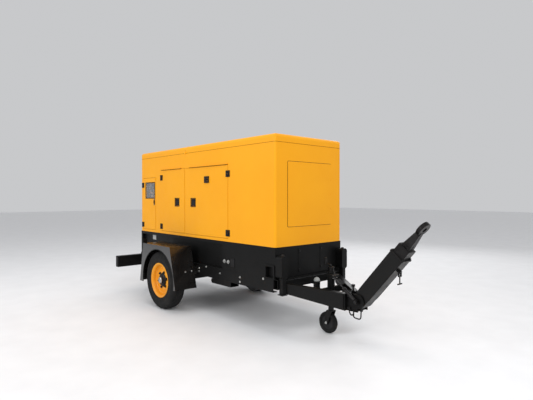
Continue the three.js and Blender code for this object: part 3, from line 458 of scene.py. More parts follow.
def bolt(bm, axis, station, out, a, b, across=17, thread=4):
    """A flanged hex bolt: washer, chamfered head and a short thread end."""
    r = across / 2 * HEX_CORNER
    washer = [(0, 0), (r * 1.3, 0), (r * 1.3, 1.6), (r * 1.12, 2.2), (0, 2.2)]
    head = [(0, 2.0), (r, 2.0), (r, across * 0.42), (r * 0.86, across * 0.5), (0, across * 0.5)]
    turn = random.uniform(0, math.pi / 3)
    shapes = [(washer, 24, turn), (head, 6, turn)]
    if thread:
        top = across * 0.5
        end = [(0, top - 1), (r * 0.45, top - 1), (r * 0.45, top + thread), (0, top + thread)]
        shapes.append((end, 16, 0.0))
    for profile, segments, angle in shapes:
        stations = [(radius, station + out * height) for radius, height in profile]
        lathe(bm, stations, axis, (a, b), segments, angle)


def finished(name, bm, material, body, bevel=1.0, segments=3, angle=32, stands_for=()):
    """Makes the object, rounds its edges and lets it ride on its body."""
    bmesh.ops.recalc_face_normals(bm, faces=bm.faces)
    mesh = bpy.data.meshes.new(name)
    bm.to_mesh(mesh)
    bm.free()
    mesh.materials.append(material)
    obj = bpy.data.objects.new(name, mesh)
    bpy.context.scene.collection.objects.link(obj)
    soften(obj, bevel, segments, angle)
    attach(obj, body)
    if stands_for:
        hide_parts(*stands_for)
    return obj


def soften(obj, bevel, segments, angle):
    for polygon in obj.data.polygons:
        polygon.use_smooth = True
    if bevel:
        edges = obj.modifiers.new("edges", "BEVEL")
        edges.width = bevel * MM
        edges.segments = segments
        edges.limit_method = "ANGLE"
        edges.angle_limit = math.radians(angle)
        edges.harden_normals = False
    weighted = obj.modifiers.new("shading", "WEIGHTED_NORMAL")
    weighted.keep_sharp = True
    weighted.weight = 80


def tube(name, points, radius, material, body, closed=False):
    """A round bar or wire through points, with rounded bends."""
    curve = bpy.data.curves.new(name, "CURVE")
    curve.dimensions = "3D"
    curve.bevel_depth = radius * MM
    curve.bevel_resolution = 6
    curve.use_fill_caps = True
    spline = curve.splines.new("POLY")
    path = smoothed([Vector(p) for p in points], closed)
    spline.points.add(len(path) - 1)
    for point, place in zip(spline.points, path):
        point.co = (*at(*place), 1)
    spline.use_cyclic_u = closed
    spline.use_smooth = True
    curve.materials.append(material)
    obj = bpy.data.objects.new(name, curve)
    bpy.context.scene.collection.objects.link(obj)
    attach(obj, body)
    return obj


BEND_REACH = 0.32  # how much of each leg a bend takes


def smoothed(points, closed, reach=BEND_REACH, steps=6):
    """Cuts each corner of a path with a quadratic bend."""
    path = []
    count = len(points)
    for i, corner in enumerate(points):
        if not closed and i in (0, count - 1):
            path.append(corner)
            continue
        before = corner.lerp(points[i - 1], reach)
        after = corner.lerp(points[(i + 1) % count], reach)
        for step in range(steps + 1):
            t = step / steps
            path.append(before.lerp(corner, t).lerp(corner.lerp(after, t), t))
    return path


# ---- Finish of the CAD pieces ----

FINISHES = {
    "yellow_paint": YELLOW, "black_paint": BLACK, "gunmetal": FORGED, "zinc": ZINC,
    "tyre_rubber": TYRE, "rim_paint": RIM_YELLOW, "cast_machine": CASTING, "engine_paint": ENGINE,
    "black_plastic": PLASTIC, "red_plastic": RED, "clear_pane": PANE, "radiator_aluminium": CORE,
}
EDGE_ROUND = 1.5
EDGE_ROUNDS = {
    "base_tray": 3.0, "drawbar_arm": 6.0, "bumper_beam": 4.0, "cross_member_front": 3.0,
    "drawbar_beam_right": 5.0, "drawbar_beam_left": 5.0, "front_cover": 1.2, "towing_eye": 5.0,
    "control_window": 0.5, "drawbar_head": 2.0, "engine": 6.0, "alternator": 4.0,
    "fuel_tank": 12.0, "battery": 4.0, "muffler": 4.0, "swing_leg_right": 2.0,
    "swing_leg_left": 2.0,
}
CHASSIS = {
    "rail_right", "rail_left", "axle", "air_tank", "base_tray", "cross_member_front",
    "bumper_beam", "drawbar_head", "swing_leg_right", "swing_leg_left", "front_leg_right",
    "front_leg_left", "jockey_clamp",
}
DARK_HARDWARE = {"jockey_mast", "jockey_fork", "jockey_crank", "clamp_lever", "breakaway_rod"}


WELD_REACH = 0.00002
SHARP_FROM = 28


def finish_cad():
    """Gives each CAD piece its paint or metal and its rounded edges."""
    for part in frame["record"]["subparts"]:
        obj = nodes[part["node"]]
        finish = FINISHES[part["material_slot"]]
        if part["node"] in CHASSIS:
            finish = FRAME_BLACK
        if part["node"].startswith("fender"):
            finish = GLOSS_BLACK
        if part["node"] in DARK_HARDWARE:
            finish = FORGED
        obj.data.materials.clear()
        obj.data.materials.append(finish)
        for polygon in obj.data.polygons:
            polygon.material_index = 0
        weld = obj.modifiers.new("joined", "WELD")
        weld.merge_threshold = WELD_REACH
        soften(obj, EDGE_ROUNDS.get(part["node"], EDGE_ROUND), 3, SHARP_FROM)


# ---- Canopy and door details ----

HALF = 540  # the side wall's outer face, from the middle
FACE = 543  # the doors' outer face
DOOR_BOTTOM = 975.3
HINGE_RADIUS = 5.7
HINGE_OUT = 548.5  # the hinge axis, from the middle
HINGE_PLATE = 38.5  # half its height
LATCH_UP = 415  # its middle, above the door's lower edge
DOORS = {
    "front_door": dict(x0=-1745, x1=-815, top=1842.3, hinge=1, latch=-1560, sides=BOTH),
    "rear_door": dict(x0=-2405, x1=-1775, top=1842.3, hinge=-1, latch=-1967, sides=BOTH),
    "control_door": dict(x0=-2984, x1=-2589, top=1745.3, hinge=-1, latch=None, sides=(RIGHT,)),
}
SIDE_NAME = {RIGHT: "right", LEFT: "left"}


def door_body(name, side):
    return name if name == "control_door" else f"{name}_{SIDE_NAME[side]}"


def hinges():
    """Black covers over the hinge leaves, half on the door and half on the wall."""
    for name, door in DOORS.items():
        axis = door["x1"] + 2 if door["hinge"] > 0 else door["x0"] - 2
        for side in door["sides"]:
            for owner, towards in ((door_body(name, side), -door["hinge"]),
                                   ("root", door["hinge"])):
                on_door = owner != "root"
                bm = bmesh.new()
                screws = bmesh.new()
                face = side * (FACE if on_door else HALF)
                for level in (DOOR_BOTTOM + 62, door["top"] - 104):
                    xs = sorted((axis + towards * 6.2, axis + towards * 38))
                    outline = rounded(*xs, level - HINGE_PLATE, level + HINGE_PLATE, 3)
                    prism(bm, outline, "y", face + side * 0.2, face + side * 4.6)
                    low, high = (level + 0.6, level + 38) if on_door else (level - 38, level - 0.3)
                    block(bm, axis + towards * 3, axis + towards * 16, side * 545, side * 551,
                          low, high)
                    knuckle = sleeve(0, HINGE_RADIUS, low, high)
                    lathe(bm, knuckle, "z", (axis, side * HINGE_OUT), 24)
                    for dz in (-24, 24):
                        bolt(screws, "y", face + side * 4.4, side, axis + towards * 25, level + dz,
                             9, 0)
                label = f"hinge_cover_{name}_{SIDE_NAME[side]}_{'door' if on_door else 'wall'}"
                finished(label, bm, PLASTIC, owner, 1.2)
                finished(label + "_screws", screws, DARK_ZINC, owner, 0.5, 2)


def latches():
    """A surround on each door, with a lever and a key barrel on its paddle."""
    for name, door in DOORS.items():
        if door["latch"] is None:
            continue
        x, z = door["latch"], DOOR_BOTTOM + LATCH_UP
        for side in door["sides"]:
            owner = door_body(name, side)
            frame_piece = bmesh.new()
            y0, y1 = side * (FACE + 0.2), side * (FACE + 4.5)
            r, inner = 58.5, 51
            surround(frame_piece, (x - r, x + r, z - r, z + r),
                     (x - inner, x + inner, z - inner, z + inner), y0, y1)
            finished(f"{owner}_latch_frame", frame_piece, PLASTIC, owner, 1.4)
            lever = bmesh.new()
            outline = rounded(x - 44, x + 44, z - 40, z + 14, 7)
            prism(lever, outline, "y", side * (FACE - 2.2), side * (FACE + 1.5))
            block(lever, x - 40, x + 40, side * (FACE - 2.2), side * (FACE + 5), z - 38, z - 30)
            finished(f"{owner}_latch_lever", lever, PLASTIC, f"{owner}_latch", 1.6)
            barrel = bmesh.new()
            ring = [(0, 0), (12, 0), (12, 2.6), (10.5, 3.6), (8.8, 3.6), (8.4, 2.4), (0, 2.4)]
            turned(barrel, ring, side, (x, z + 28), 32, FACE - 2.2)
            block(barrel, x - 1.1, x + 1.1, side * (FACE + 0.1), side * (FACE + 0.7),
                  z + 24, z + 32)
            finished(f"{owner}_latch_key", barrel, DARK_ZINC, f"{owner}_latch", 0.4, 2)


def seals_and_linings():
    """Rubber round each door frame and square pads of sound lining inside the big doors."""
    for name, door in DOORS.items():
        x0, x1, z0, z1 = door["x0"], door["x1"], DOOR_BOTTOM, door["top"]
        for side in door["sides"]:
            owner = door_body(name, side)
            seal = bmesh.new()
            out, lap = 3.7, 6
            surround(seal, (x0 - out, x1 + out, z0 - out, z1 + out),
                     (x0 + lap, x1 - lap, z0 + lap, z1 - lap), side * 505, side * 516.5)
            finished(f"{owner}_frame_seal", seal, SEAL, "root", 3.0)
            if name == "control_door":
                continue
            lining = bmesh.new()
            columns = 4 if name == "front_door" else 3
            width = (x1 - x0 - 90) / columns
            for i in range(columns):
                for j in range(4):
                    height = (z1 - z0 - 90) / 4
                    low = (x0 + 45 + i * width + 1.5, z0 + 45 + j * height + 1.5)
                    block(lining, low[0], low[0] + width - 3, side * 503, side * 517.7,
                          low[1], low[1] + height - 3)
            finished(f"{owner}_sound_lining", lining, SEAL, owner, 5.0, 4)


def window_and_lock():
    x0, x1, z0, z1 = -2895, -2611, 1445.3, 1672.3
    gasket = bmesh.new()
    surround(gasket, (x0 - 9, x1 + 9, z0 - 9, z1 + 9), (x0 + 3, x1 - 3, z0 + 3, z1 - 3),
             -FACE - 3.4, -FACE - 0.1)
    finished("control_window_gasket", gasket, SEAL, "control_door", 1.4, 3)
    plate = bmesh.new()
    x, z = -2625, 1385.3
    outline = rounded(x - 17, x + 17, z - 46, z + 46, 9)
    prism(plate, outline, "y", -FACE - 0.1, -FACE - 2.4)
    finished("control_door_lock_plate", plate, PLASTIC, "control_door", 0.8)
    screws = bmesh.new()
    for dz in (-37, 37):
        bolt(screws, "y", -FACE - 2.3, -1, x, z + dz, 7, 0)
    finished("control_door_lock_screws", screws, ZINC, "control_door", 0.4, 2)


def seam_lines():
    """Painted shadow lines in dark amber in the roof seam, in the roof joint and under the gutters,
    and a yellow strip over the roof joint.
    """
    bm = bmesh.new()
    steps, corner = 8, 25
    ring = []
    for cx, cy, start in ((-25, 515, 0), (-3025, 515, 1), (-3025, -515, 2), (-25, -515, 3)):
        for i in range(steps + 1):
            angle = (start + i / steps) * math.pi / 2
            ring.append((cx, cy, math.cos(angle), math.sin(angle)))
    outer = [(cx + (corner + 0.9) * c, cy + (corner + 0.9) * s) for cx, cy, c, s in ring]
    inner = [(cx + (corner - 3) * c, cy + (corner - 3) * s) for cx, cy, c, s in ring]
    levels = (2043.4, 2047.6)
    rows = [[bm.verts.new(at(x, y, z)) for x, y in line]
            for line, z in ((outer, levels[0]), (outer, levels[1]), (inner, levels[1]),
                            (inner, levels[0]))]
    rows.append(rows[0])
    for low_row, high_row in zip(rows, rows[1:]):
        for i in range(len(ring)):
            j = (i + 1) % len(ring)
            bm.faces.new((low_row[i], low_row[j], high_row[j], high_row[i]))
    for side in BOTH:
        block(bm, -1762, -1758, side * 538, side * 540.9, 2047, 2096)
        for x0, x1 in ((-1647, -815), (-2405, -1862)):
            block(bm, x0, x1, side * 540.1, side * 554, 1845.8, 1850.1)
    # Painted shadow: these dark strips stand for the shade under the roof edge, at the roof joint
    # and under the gutters.
    finished("canopy_seam_painted_shadows", bm, SEAM_SHADOW_PAINT, "root", 0.4, 2)
    spine = bmesh.new()
    for y0, y1 in ((-549, -530), (530, 549)):
        prism(spine, rounded(y0, y1, 2030, 2066, 5), "x", -1774, -1746)
    prism(spine, rounded(-500, 500, 2133, 2139.5, 2.5), "x", -1772, -1748)
    finished("roof_joint_strip", spine, YELLOW, "root", 1.4)


def roof_and_cover():
    """Painted screws round the front cover, and its gasket."""
    screws = bmesh.new()
    for y in (-340, -170, 0, 170, 340):
        for z in (1163, 1830):
            bolt(screws, "x", 5.2, 1, y, z, 10, 0)
    for y in (-345, 345):
        for z in (1330, 1497, 1664):
            bolt(screws, "x", 5.2, 1, y, z, 10, 0)
    finished("front_cover_screws", screws, YELLOW, "root", 0.5, 2)
    gasket = bmesh.new()
    prism(gasket, rounded(-362, 362, 1141.5, 1851.5, 16), "x", 0.15, 1.6)
    finished("front_cover_gasket", gasket, SEAL, "root", 0.5, 2)


# ---- Wheels ----

WHEEL = (-1850, 375)  # the axle's x and z
WHEEL_Y = 790
JOCKEY = (262, 115)  # the small wheel's x and z
TYRE_STEPS = 144
BLOCK_STEPS = 4  # one gap between the shoulder blocks in this many steps
WHEEL_NUTS = 6
NUT_CIRCLE = 102


def tyre_ring(bm, side, profile):
    """A tyre turned about the axle. Each (radius, out, depth) point sinks by depth in the gaps."""
    rings = []
    for radius, out, depth in profile:
        ring = []
        for i in range(TYRE_STEPS):
            angle = 2 * math.pi * i / TYRE_STEPS
            phase = i + (2 if out > 0 else 0)
            r = radius - (depth if phase % BLOCK_STEPS == 0 else 0)
            ring.append(bm.verts.new(at(WHEEL[0] + r * math.cos(angle), side * (WHEEL_Y + out),
                                        WHEEL[1] + r * math.sin(angle))))
        rings.append(ring)
    rings.append(rings[0])
    for low, high in zip(rings, rings[1:]):
        for i in range(TYRE_STEPS):
            j = (i + 1) % TYRE_STEPS
            bm.faces.new((low[i], low[j], high[j], high[i]))


def tyres():
    """The half profile is (radius, out, depth), from the bead to the middle of the tread."""
    half_profile = [
        (219, 78, 0), (228, 86, 0), (246, 91, 0), (250, 94, 0), (256, 94.5, 0), (260, 92, 0),
        (282, 97, 0), (304, 99.5, 0), (309, 100, 0), (313, 98.8, 0), (330, 96, 0), (341, 90, 0),
        (352, 84, 5), (365, 74, 8), (371, 64, 8), (374, 52, 8), (374.5, 47, 4), (366, 45, 0),
        (366, 41, 0), (374.8, 39, 0), (375, 18, 0), (366.5, 16, 0), (366.5, 12, 0), (375, 10, 0),
    ]
    profile = half_profile + [(r, -out, depth) for r, out, depth in reversed(half_profile)]
    for name, side in SIDES.items():
        bm = bmesh.new()
        tyre_ring(bm, side, profile)
        finished(f"tyre_tread_{name}", bm, TYRE, f"wheel_{name}", 0, stands_for=[f"tyre_{name}"])


def rims():
    """Yellow discs with a dark hub, a bright cap, wheel nuts and a valve."""
    lip = [
        (30.5, -70), (70, -70), (76, 6), (150, 6), (185, -10), (195, -66), (205, -76), (217, -78),
        (223, -82), (224, -86), (220, -88), (212, -84), (203, -80), (192, -62), (190, -20),
        (196, -4), (196, 60), (205, 70), (217, 76), (223, 80), (225, 85), (221, 89), (214, 87),
        (206, 80), (199, 74), (193, 66), (190, 42), (184, 31), (172, 25), (160, 23.5), (146, 27),
        (128, 34), (112, 36), (66, 36), (60, 32), (30.5, 32),
    ]
    for name, side in SIDES.items():
        body = f"wheel_{name}"
        disc = bmesh.new()
        turned(disc, lip + lip[:1], side, WHEEL, 96, WHEEL_Y)
        finished(f"rim_disc_{name}", disc, RIM_YELLOW, body, 0, stands_for=[f"rim_{name}"])
        hub = bmesh.new()
        cup = [(31, 36.2), (86, 36.2), (88, 38), (87, 44), (74, 54), (62, 60), (50, 61), (44, 62),
               (42, 70), (31, 70), (31, 36.2)]
        turned(hub, cup, side, WHEEL, 48, WHEEL_Y)
        finished(f"hub_drum_{name}", hub, FORGED, body, 0.8)
        cap = bmesh.new()
        dome = [(0, 62), (41, 62), (41, 76), (38, 82), (30, 87), (16, 90), (0, 91)]
        turned(cap, dome, side, WHEEL, 48, WHEEL_Y)
        finished(f"hub_cap_{name}", cap, ZINC, body, 0)
        nuts = bmesh.new()
        for i in range(WHEEL_NUTS):
            angle = math.radians(360 / WHEEL_NUTS * i + 12)
            a = WHEEL[0] + NUT_CIRCLE * math.cos(angle)
            b = WHEEL[1] + NUT_CIRCLE * math.sin(angle)
            bolt(nuts, "y", side * (WHEEL_Y + 36), side, a, b, 27, 8)
        finished(f"wheel_nuts_{name}", nuts, DARK_ZINC, body, 0.7)
        valve = bmesh.new()
        stem = [(0, 60), (5, 60), (5, 78), (4, 80), (4, 92), (0, 92)]
        turned(valve, stem, side, (WHEEL[0] + 180, WHEEL[1] + 22), 20, WHEEL_Y)
        finished(f"tyre_valve_{name}", valve, SEAL, body, 0.5)


def jockey_details():
    wheel = bmesh.new()
    profile = [
        (8.3, -33.5), (19, -33.5), (20, -13), (74, -12), (78, -24), (82, -29), (90, -30), (96, -29),
        (104, -28), (110, -23), (114, -16), (115, -9), (115, -4.5), (112, -3), (112, 3), (115, 4.5),
        (115, 9), (114, 16), (110, 23), (104, 28), (96, 29), (90, 30), (82, 29), (78, 24),
        (74, 12), (20, 13), (19, 33.5), (8.3, 33.5), (8.3, -33.5),
    ]
    lathe(wheel, profile, "y", JOCKEY, 72)
    finished("jockey_tyre", wheel, TYRE, "jockey_wheel", 0, stands_for=["jockey_wheel"])
    disc = bmesh.new()
    for side in BOTH:
        face = [(20.5, 13.3), (73, 12.3), (75, 14), (75, 16), (70, 16), (60, 15), (24, 16.5),
                (20.5, 16.5), (20.5, 13.3)]
        turned(disc, face, side, JOCKEY, 48)
    finished("jockey_disc", disc, DARK_ZINC, "jockey_wheel", 0.4, 2)
    nuts = bmesh.new()
    for side in BOTH:
        bolt(nuts, "y", side * 39.2, side, *JOCKEY, 19, 5)
    finished("jockey_axle_nuts", nuts, ZINC, "jockey_fork", 0.5, 2)
    grip = bmesh.new()
    shape = [(0, 729.5), (13, 729.5), (14.5, 732), (13.4, 740), (14.8, 758), (15.2, 776), (14, 794),
             (14.6, 803), (12, 808), (0, 809.5)]
    lathe(grip, shape, "z", (225, 0), 36)
    finished("jockey_crank_grip", grip, PLASTIC, "jockey_crank", 0)
    collars = bmesh.new()
    for z in (441, 652):
        ring = [(40.3, z), (43, z), (44, z + 2), (44, z + 9), (43, z + 11), (40.3, z + 11),
                (40.3, z)]
        lathe(collars, ring, "z", (300, 0), 40)
    finished("jockey_clamp_collars", collars, BLACK, "root", 0.6)
    tee = bmesh.new()
    lathe(tee, [(0, -34), (5, -34), (6, -31), (6, 31), (5, 34), (0, 34)], "y", (353, 604), 24)
    lathe(tee, sleeve(9, 13.5, 334, 343), "x", (0, 604), 6)
    finished("jockey_clamp_handle", tee, ZINC, "root", 0.8)


# ---- Base, rails and running gear ----


def base_details():
    fittings = bmesh.new()
    for x in (-880, -805):
        flange = [(0, 540.2), (21, 540.2), (22, 541.4), (22, 545), (20.5, 546.6), (15, 547),
                  (0, 547)]
        turned(fittings, flange, RIGHT, (x, 700), 36)
        plug = [(0, 546.5), (12.5, 546.5), (12.5, 556), (11, 558), (0, 558)]
        turned(fittings, plug, RIGHT, (x, 700), 6, turn=0.4)
    finished("base_drain_plugs", fittings, ZINC, "root", 0.6)
    recess = bmesh.new()
    prism(recess, rounded(-768, -690, 652, 742, 12), "y", -540.15, -541.6)
    finished("base_hatch_cover", recess, SEAL, "root", 0.7)
    rim = bmesh.new()
    for x0, x1, z0, z1 in ((-774, -684, 742, 749), (-774, -684, 645, 652),
                           (-775, -768, 645, 749), (-690, -683, 645, 749)):
        block(rim, x0, x1, -540.1, -544.5, z0, z1)
    finished("base_hatch_frame", rim, FRAME_BLACK, "root", 1.2)
    plate = bmesh.new()
    prism(plate, rounded(-2750, -2650, 820, 890, 5), "y", -500.2, -502)
    finished("base_blank_plate", plate, PALE, "root", 0.5, 2)
    rivets = bmesh.new()
    for x in (-2743, -2657):
        for z in (827, 883):
            head = [(0, 501.8), (3.4, 501.8), (3, 503), (1.6, 503.8), (0, 504)]
            turned(rivets, head, RIGHT, (x, z), 20)
    finished("base_plate_rivets", rivets, ZINC, "root", 0)
    band = bmesh.new()
    prism(band, rounded(-196, -164, 640, 905, 4), "x", 0.15, 3.2)
    prism(band, rounded(164, 196, 640, 905, 4), "x", 0.15, 3.2)
    finished("base_front_straps", band, FRAME_BLACK, "root", 1.0)
    heads = bmesh.new()
    for side in BOTH:
        for z in (668, 877):
            bolt(heads, "x", 3.0, 1, side * 180, z, 19, 0)
        cap = [(0, 854.2), (17, 854.2), (17, 861), (14, 866), (6, 868), (0, 868)]
        lathe(heads, cap, "z", (65, side * 495), 32)
    finished("base_front_bolts", heads, DARK_ZINC, "root", 0.6)
    lash = bmesh.new()
    for side in BOTH:
        turned(lash, sleeve(0, 7, 507, 512), side, (-82, 735), 20)
    finished("tie_down_studs", lash, DARK_ZINC, "root", 0.5)


def chassis_details():
    """Bolts, fender lips, tail lamps, brake backplates and tank welds."""
    zinc = bmesh.new()
    for x, levels in ((-1425, (549, 510)), (-585, (549, 496)), (-970, (543,)), (-1264, (588,)),
                      (-186, (588,)), (-2600, (549, 496)), (-2980, (543,))):
        for side in BOTH:
            for z in levels:
                bolt(zinc, "y", side * 540.2, side, x, z, 17, 5)
    for y in (728, 635):
        for side in BOTH:
            slope = (518 - 309) / 525 * 134
            bolt(zinc, "x", -1400 - slope + 1.0, 1, side * y, 518, 15, 3)
    finished("rail_bolts", zinc, ZINC, "root", 0.6)
    lips = bmesh.new()
    for side in BOTH:
        ring = []
        steps, below, outer, inner = 56, 9, 409, 400.6
        for i in range(steps + 1):
            angle = math.radians(-below) + math.radians(180 + 2 * below) * i / steps
            ring.append((math.cos(angle), math.sin(angle)))
        outline = [(WHEEL[0] + outer * c, WHEEL[1] + outer * s) for c, s in ring]
        outline += [(WHEEL[0] + inner * c, WHEEL[1] + inner * s) for c, s in reversed(ring)]
        prism(lips, outline, "y", side * 907.1, side * 909.6)
    finished("fender_arch_lips", lips, BLACK, "root", 0.9)
    step = bmesh.new()
    for side in BOTH:
        block(step, -2250, -2244, side * 850, side * 906, 834.2, 889)
        block(step, -2250, -2222, side * 850, side * 906, 834.2, 838)
    finished("fender_rear_upstands", step, BLACK, "root", 1.6)
    lamps = bmesh.new()
    lenses = bmesh.new()
    amber = bmesh.new()
    for side in BOTH:
        inner, outer = side * 300, side * 500
        prism(lamps, rounded(min(inner, outer), max(inner, outer), 690, 800, 14), "x",
              -3050.2, -3072)
        mid = side * 420
        for bm, (a, b), (near, far) in ((lenses, (inner, mid), (8, 4)),
                                        (amber, (mid, outer), (4, 8))):
            outline = rounded(min(a, b) + near, max(a, b) - far, 698, 792, 9)
            prism(bm, outline, "x", -3071.8, -3084)
    finished("tail_lamp_housings", lamps, PLASTIC, "root", 2.0)
    finished("tail_lamp_lenses", lenses, RED, "root", 2.0)
    finished("tail_lamp_indicators", amber, AMBER, "root", 2.0)
    ends = bmesh.new()
    for side in BOTH:
        block(ends, -3144, -3076, side * 903, side * 909.5, 406, 559)
    finished("bumper_end_plugs", ends, SEAL, "root", 3.0)
    drums = bmesh.new()
    for side in BOTH:
        drum = [(31, 652), (118, 652), (124, 657), (126, 664), (126, 700), (122, 706), (112, 708),
                (31, 708), (31, 652)]
        turned(drums, drum, side, WHEEL, 48)
    finished("brake_backplates", drums, FORGED, "root", 0.8)
    ports = bmesh.new()
    lathe(ports, [(0, 340), (16, 340), (16, 349), (13, 352), (9, 352), (9, 360), (0, 360)], "z",
          (-670, 0), 6)
    for side in BOTH:
        seam = [(105.2, 284), (108, 286), (108, 294), (105.2, 296), (105.2, 284)]
        turned(ports, seam, side, (-670, 451), 48)
    finished("air_tank_welds", ports, FRAME_BLACK, "root", 0.4, 2)


# ---- Drawbar ----

HINGE = Vector((705, 0, 430))
RAISE = math.radians(49.5)


def arm_frame(bm):
    """Turns a piece made level, with the pivot at the origin, up to the arm's angle."""
    turn = Matrix.Rotation(-RAISE, 4, "Y")
    origin = at(0, 0, 0)
    for vertex in bm.verts:
        vertex.co = at(*HINGE) + turn @ (vertex.co - origin)


def drawbar_details():
    bolts = bmesh.new()
    for y in (-60, 60):
        for z in (-70, 70):
            bolt(bolts, "x", 658.2, 1, y, z, 19, 6)
    arm_frame(bolts)
    finished("eye_flange_bolts", bolts, DARK_ZINC, "drawbar", 0.7)
    collar = bmesh.new()
    for low, high, r in ((758.3, 776, 47), (776, 800, 44)):
        shape = [(0, low), (r, low), (r + 2, low + 3), (r + 2, high - 3), (r, high), (0, high)]
        lathe(collar, shape, "x", (0, 0), 40)
    arm_frame(collar)
    finished("eye_swivel_collar", collar, FORGED, "drawbar", 0.8)
    caps = bmesh.new()
    for side in BOTH:
        bolt(caps, "y", side * 125.2, side, HINGE.x, HINGE.z, 27, 0)
        if side == LEFT:
            turned(caps, sleeve(15.4, 27, 88, 92), side, (HINGE.x, HINGE.z), 40)
        for x, z in ((590, 470), (590, 345)):
            bolt(caps, "y", side * 87.3, side, x, z, 17, 0)
    finished("drawbar_head_bolts", caps, DARK_ZINC, "root", 0.7)
    knob = bmesh.new()
    shape = [(0, 690), (5, 690), (5, 706), (17, 708), (20, 713), (20, 724), (17, 729), (0, 731)]
    lathe(knob, shape, "x", (-40, 341), 28)
    finished("head_clamp_knob", knob, PLASTIC, "root", 0.8)
    plates = bmesh.new()
    for side in BOTH:
        block(plates, 552, 559.6, side * 60, side * 128, 335, 478)
    finished("head_flange_plates", plates, FORGED, "root", 1.6)
    edge = bmesh.new()
    for side in BOTH:
        for z0, z1 in ((74.6, 77.6), (-77.6, -74.6)):
            block(edge, 90, 632, side * 70.1, side * 71.6, z0, z1)
    arm_frame(edge)
    finished("arm_seam_welds", edge, BLACK, "drawbar", 0.7)


def dome_cylinder():
    """A white-domed actuator stands between the beams, just ahead of the cross member."""
    place = (115, -20)
    body = bmesh.new()
    shape = [(0, 452), (34, 452), (37, 455), (37, 528), (40, 530), (40, 536), (37, 538), (0, 538)]
    lathe(body, shape, "z", place, 44)
    block(body, 36.4, 115, -34, -6, 505, 515)
    finished("brake_actuator_body", body, FORGED, "root", 0.8)
    dome = bmesh.new()
    shape = [(0, 537.5), (35, 537.5), (35, 548), (33, 560), (28, 570), (19, 578), (9, 582),
             (0, 583)]
    lathe(dome, shape, "z", place, 44)
    finished("brake_actuator_dome", dome, PALE, "root", 0)
    tube("beam_root_bar", [(47, -440, 588), (47, 440, 588)], 6, DARK_ZINC, "root")
    for y in (-300, 0, 300):
        points = [(37, y, 600), (47, y, 600), (55, y, 588), (47, y, 577), (37, y, 577)]
        tube(f"beam_root_clip_{300 + y}", points, 3, DARK_ZINC, "root")
    tube("safety_loop", [(658, -81, 336), (652, -81, 262), (742, -81, 256), (746, -81, 382)], 6.5,
         FORGED, "root")
    tube("strut_sleeve_rings", [(560, -111, 534.5), (574, -111, 524.3)], 22.5, FORGED, "root")


# ---- Machinery under the canopy ----

SHAFT_Z = 1158.9
PANEL_FACE = -472


def control_panel_details():
    """Everything that shows through the control door's window or behind it."""
    fascia = bmesh.new()
    prism(fascia, rounded(-3020, -2632, 1405, 1735, 8), "y", PANEL_FACE - 0.2, PANEL_FACE - 3)
    finished("control_fascia", fascia, PANEL_TAN, "root", 1.0)
    bezel = bmesh.new()
    surround(bezel, (-2842, -2664, 1539, 1652), (-2830, -2676, 1548, 1637),
             PANEL_FACE - 2.8, PANEL_FACE - 11)
    for i in range(5):
        key = [(0, 474.8), (5, 474.8), (5, 480), (3.5, 482), (0, 482)]
        turned(bezel, key, RIGHT, (-2856, 1556 + i * 18), 20)
    finished("control_screen_bezel", bezel, PLASTIC, "root", 1.4)
    knobs = bmesh.new()
    for i in range(3):
        x = -2835 + i * 70
        shape = [(0, 474), (19, 474), (19, 477), (15.5, 479), (14.8, 492), (13, 494), (0, 494)]
        turned(knobs, shape, RIGHT, (x, 1495.3), 36)
        block(knobs, x - 1.6, x + 1.6, -493.8, -496.5, 1484, 1507)
    finished("control_knobs", knobs, PLASTIC, "root", 0.7)
    sockets = bmesh.new()
    for i in range(3):
        for j in range(2):
            x, z = -2950 + i * 120, 1070 + j * 150
            shape = [(0, 472.3), (42, 472.3), (42, 480), (38, 484), (34, 484), (32, 478), (0, 478)]
            turned(sockets, shape, RIGHT, (x, z), 40)
            block(sockets, x - 30, x + 30, -483.5, -487, z + 30, z + 38)
    finished("power_outlets", sockets, RED, "root", 0.9)
    breakers = bmesh.new()
    for i in range(8):
        x = -2990 + i * 44
        block(breakers, x, x + 36, PANEL_FACE - 0.2, PANEL_FACE - 9, 1300, 1375)
        block(breakers, x + 13, x + 23, PANEL_FACE - 8.8, PANEL_FACE - 16, 1330, 1350)
    finished("circuit_breakers", breakers, SEAL, "root", 1.4)


